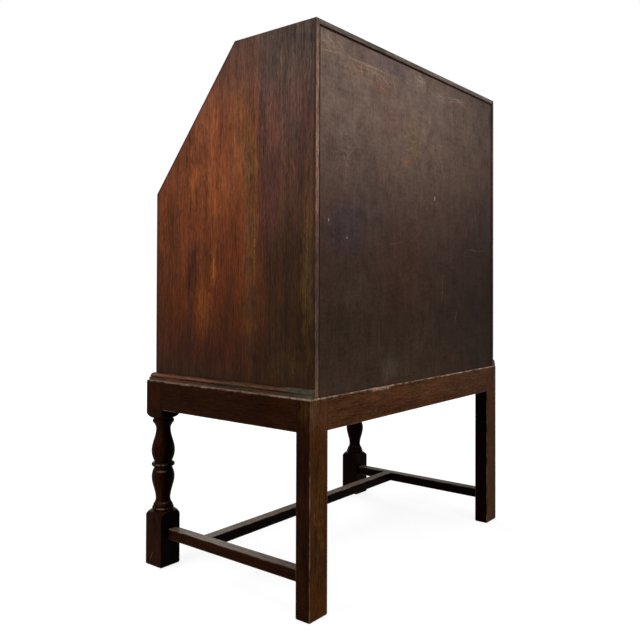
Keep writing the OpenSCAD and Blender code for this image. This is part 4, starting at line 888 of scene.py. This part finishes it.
colour = scratches(tree, colour, flat, (
    ((334, 966), (250, 971), 2.0, "#b09a84", 0.7), ((290, 973), (165, 972), 2.0, "#b09a84", 0.7),
    ((215, 971), (98, 971), 2.2, "#bba084", 0.8), ((108, 971), (90, 942), 2.2, "#b0967f", 0.8),
    ((196, 966), (120, 958), 2.0, "#a98f79", 0.8), ((230, 962), (150, 966), 2.0, "#a98f79", 0.7),
    ((150, 964), (96, 940), 2.0, "#b0967f", 0.8), ((160, 946), (118, 930), 2.4, "#a8735c", 0.8),
    ((170, 934), (130, 944), 2.2, "#a07060", 0.7), ((246, 955), (239, 936), 2.8, "#b07a58", 0.9),
    ((232, 966), (225, 946), 2.8, "#b8805a", 1.0), ((211, 970), (205, 950), 2.8, "#b8805a", 1.0),
    ((191, 971), (184, 950), 2.8, "#b07a58", 0.9), ((172, 962), (167, 950), 2.4, "#a07058", 0.8),
    ((316, 998), (290, 980), 3.6, "#ac9a8e", 0.8), ((284, 994), (258, 976), 3.0, "#a08c7e", 0.8),
    ((326, 978), (316, 984), 3.6, "#a3948a", 0.7), ((20, 986), (-22, 984), 3.0, "#ac9e92", 0.8),
    ((10, 995), (-16, 989), 2.4, "#a3958a", 0.8), ((-6, 978), (-8, 956), 2.0, "#9a8a7c", 0.6),
    ((-30, 968), (-120, 960), 2.0, "#9a8a7c", 0.7), ((-60, 974), (-110, 966), 2.0, "#a89080", 0.8),
    ((268, 800), (240, 760), 3.0, "#8a7b70", 0.5), ((-70, 880), (-92, 806), 2.6, "#85746a", 0.6),
    ((60, 900), (66, 850), 3.0, "#95806a", 0.5), ((2, 880), (-2, 822), 3.0, "#95825f", 0.6),
    ((20, 870), (26, 820), 2.4, "#927a5a", 0.5), ((120, 640), (60, 652), 2.2, "#6b5a50", 0.6),
    ((-240, 760), (-262, 660), 2.2, "#6b5e56", 0.6), ((160, 905), (140, 700), 2.2, "#78685e", 0.5),
    ((100, 780), (96, 560), 2.6, "#6a574d", 0.4), ((-130, 800), (-128, 600), 2.6, "#62554c", 0.5),
    ((210, 620), (204, 450), 2.6, "#54463c", 0.5), ((20, 520), (10, 420), 2.6, "#54463c", 0.5),
    ((-96, 600), (-90, 520), 2.6, "#62544a", 0.6), ((150, 500), (148, 430), 2.6, "#5c4e43", 0.5),
    ((-40, 963), (-207, 987), 2.2, "#9f9082", 0.7), ((-115, 967), (-197, 982), 2.4, "#b0947c", 0.8),
    ((-244, 1002), (-244, 990), 2.0, "#8a7c70", 0.7), ((-275, 1004), (-275, 990), 2.0, "#8a7c70", 0.7),
    ((76, 807), (34, 812), 2.4, "#8f5c3c", 0.7), ((264, 846), (264, 826), 2.2, "#8c7d72", 0.7),
    ((-196, 647), (-298, 648), 1.5, "#7a6e66", 0.7), ((-222, 642), (-214, 618), 1.8, "#6e615a", 0.6),
    ((-161, 511), (-149, 488), 1.8, "#86705f", 0.7), ((-148, 926), (-183, 866), 2.4, "#7d6c62", 0.5),
    ((184, 810), (184, 664), 5.0, "#5f524c", 0.4), ((19, 815), (18, 735), 3.0, "#6f5f56", 0.5),
    ((-166, 819), (-166, 742), 3.0, "#6f5f56", 0.5), ((-52, 524), (-52, 441), 4.0, "#54463c", 0.5),
    ((290, 970), (290, 920), 2.2, "#9a8a7c", 0.5), ((-60, 753), (-60, 744), 3.0, "#e0d4c0", 1.0),
    ((306, 679), (306, 671), 2.4, "#c8b9a4", 1.0), ((252, 651), (252, 645), 2.4, "#a89a8a", 1.0)))
# Painted shade: a dark line where the panel lies back in the rebates, beside the sides and under the top
across = add(tree, "Math", {0: at[0]}, operation="ABSOLUTE")[0]
across = add(tree, "Math", {0: across, 1: -REBATE_X}, operation="ADD")[0]
above = add(tree, "Math", {0: at[2], 1: -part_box("back_panel")[1].z}, operation="ADD")[0]
recess_shade = add(tree, "Math", {0: across, 1: above}, operation="MAXIMUM")[0]
recess_shade = add(tree, "MapRange", {"Value": recess_shade, 1: -LINE_START, 2: -LINE_FULL, 3: 0.0, 4: 0.95})[0]
colour = add(tree, "Mix", {0: recess_shade, 6: colour, 7: linear("#260a08")}, data_type="RGBA")[2]
tree.links.new(colour, shader.inputs["Base Color"])
shader.inputs["Roughness"].default_value = 0.75
shader.inputs["Specular IOR Level"].default_value = 0.04
bump = add(tree, "Bump", {"Height": streaks, "Strength": 0.25, "Distance": 0.0004})[0]
tree.links.new(bump, shader.inputs["Normal"])
eased("back_panel", stained_ply, "plywood", arris=0.6, along=2)


# Pigeonholes
# A shelf housed in the sides, four uprights with hollowed fronts over it and two below,
# all in thin oak planed and polished like the writing face.
eased("fitment_shelf", case_oak, "oak_case", arris=0.7, tight=SIDE_PLANES)
eased("fitment_uprights", case_oak, "oak_case", arris=0.7)


# Fall
# A clamped board: its grain runs across, between two cross-grained ends with tongues. It
# turns on brass butt hinges let in flush, and locks into the top.
fall_axes = ((1, 0, 0), (0, math.cos(slope), math.sin(slope)), (0, -math.sin(slope), math.cos(slope)))
CLEAT_X = 268
for node in ("fall_board", "fall_cleats"):
    eased(node, case_oak, "oak_case", arris=0.8, axes=fall_axes, tight=((0, -CLEAT_X), (0, CLEAT_X)))

# Sheet and cast brass, dulled by age: yellow, with brown tarnish in patches of about 8 mm
# and fine pits 1 mm apart
old_brass, tree, shader = new_finish("old_brass_dulled")
place = add(tree, "TexCoord")["Object"]
tarnish = add(tree, "TexNoise", {"Vector": place, "Scale": 120.0, "Detail": 5.0, "Roughness": 0.6})
tarnish = add(tree, "MapRange", {"Value": tarnish["Fac"], 1: 0.38, 2: 0.68})[0]
shades = {0: tarnish, 6: linear("#b58f4e"), 7: linear("#6d5127")}
colour = add(tree, "Mix", shades, data_type="RGBA")[2]
tree.links.new(colour, shader.inputs["Base Color"])
gloss = add(tree, "MapRange", {"Value": tarnish, 3: 0.26, 4: 0.52})[0]
tree.links.new(gloss, shader.inputs["Roughness"])
shader.inputs["Metallic"].default_value = 1.0
pits = add(tree, "TexNoise", {"Vector": place, "Scale": 900.0, "Detail": 2.0})["Fac"]
bump = add(tree, "Bump", {"Height": pits, "Strength": 0.15, "Distance": 0.0002})[0]
tree.links.new(bump, shader.inputs["Normal"])
for node in ("case_hinge_leaves", "fall_hinge_leaves", "escutcheon"):
    eased(node, old_brass, "old_brass", arris=0.2, axes=fall_axes)
eased("fall_lock", old_brass, "old_brass", arris=0.3, axes=fall_axes)
eased("hinge_pins", dull_steel, "steel", arris=0)
eased("lock_bolt", dull_steel, "steel", arris=0.3, axes=fall_axes)


# Lopers
# Two oak slides, each between a side of the case and a partition. They are drawn out by
# small turned brass knobs, to carry the open fall.
for side in ("left", "right"):
    eased(f"loper_{side}", case_oak, "oak_case", arris=0.8)
    eased(f"loper_knob_{side}", old_brass, "old_brass", arris=0)


# Drawers
# Polished oak fronts, lap-dovetailed to plain oak sides, with the back dovetailed
# through and a thin bottom in grooves. Cast brass bails hang from ball-headed posts.
for drawer in ("top", "middle", "bottom", "small"):
    eased(f"{drawer}_drawer_front", case_oak, "oak_case", arris=0.8)
    eased(f"{drawer}_drawer_box", raw_oak, "oak_inside", arris=0.35)
    eased(f"{drawer}_drawer_bottom", raw_oak, "oak_inside", arris=0.35)
for drawer in ("top", "middle", "bottom"):
    eased(f"{drawer}_drawer_plates", old_brass, "old_brass", arris=0)
    for side in ("left", "right"):
        eased(f"{drawer}_drawer_bail_{side}", old_brass, "old_brass", arris=0)
eased("small_drawer_knob", old_brass, "old_brass", arris=0)
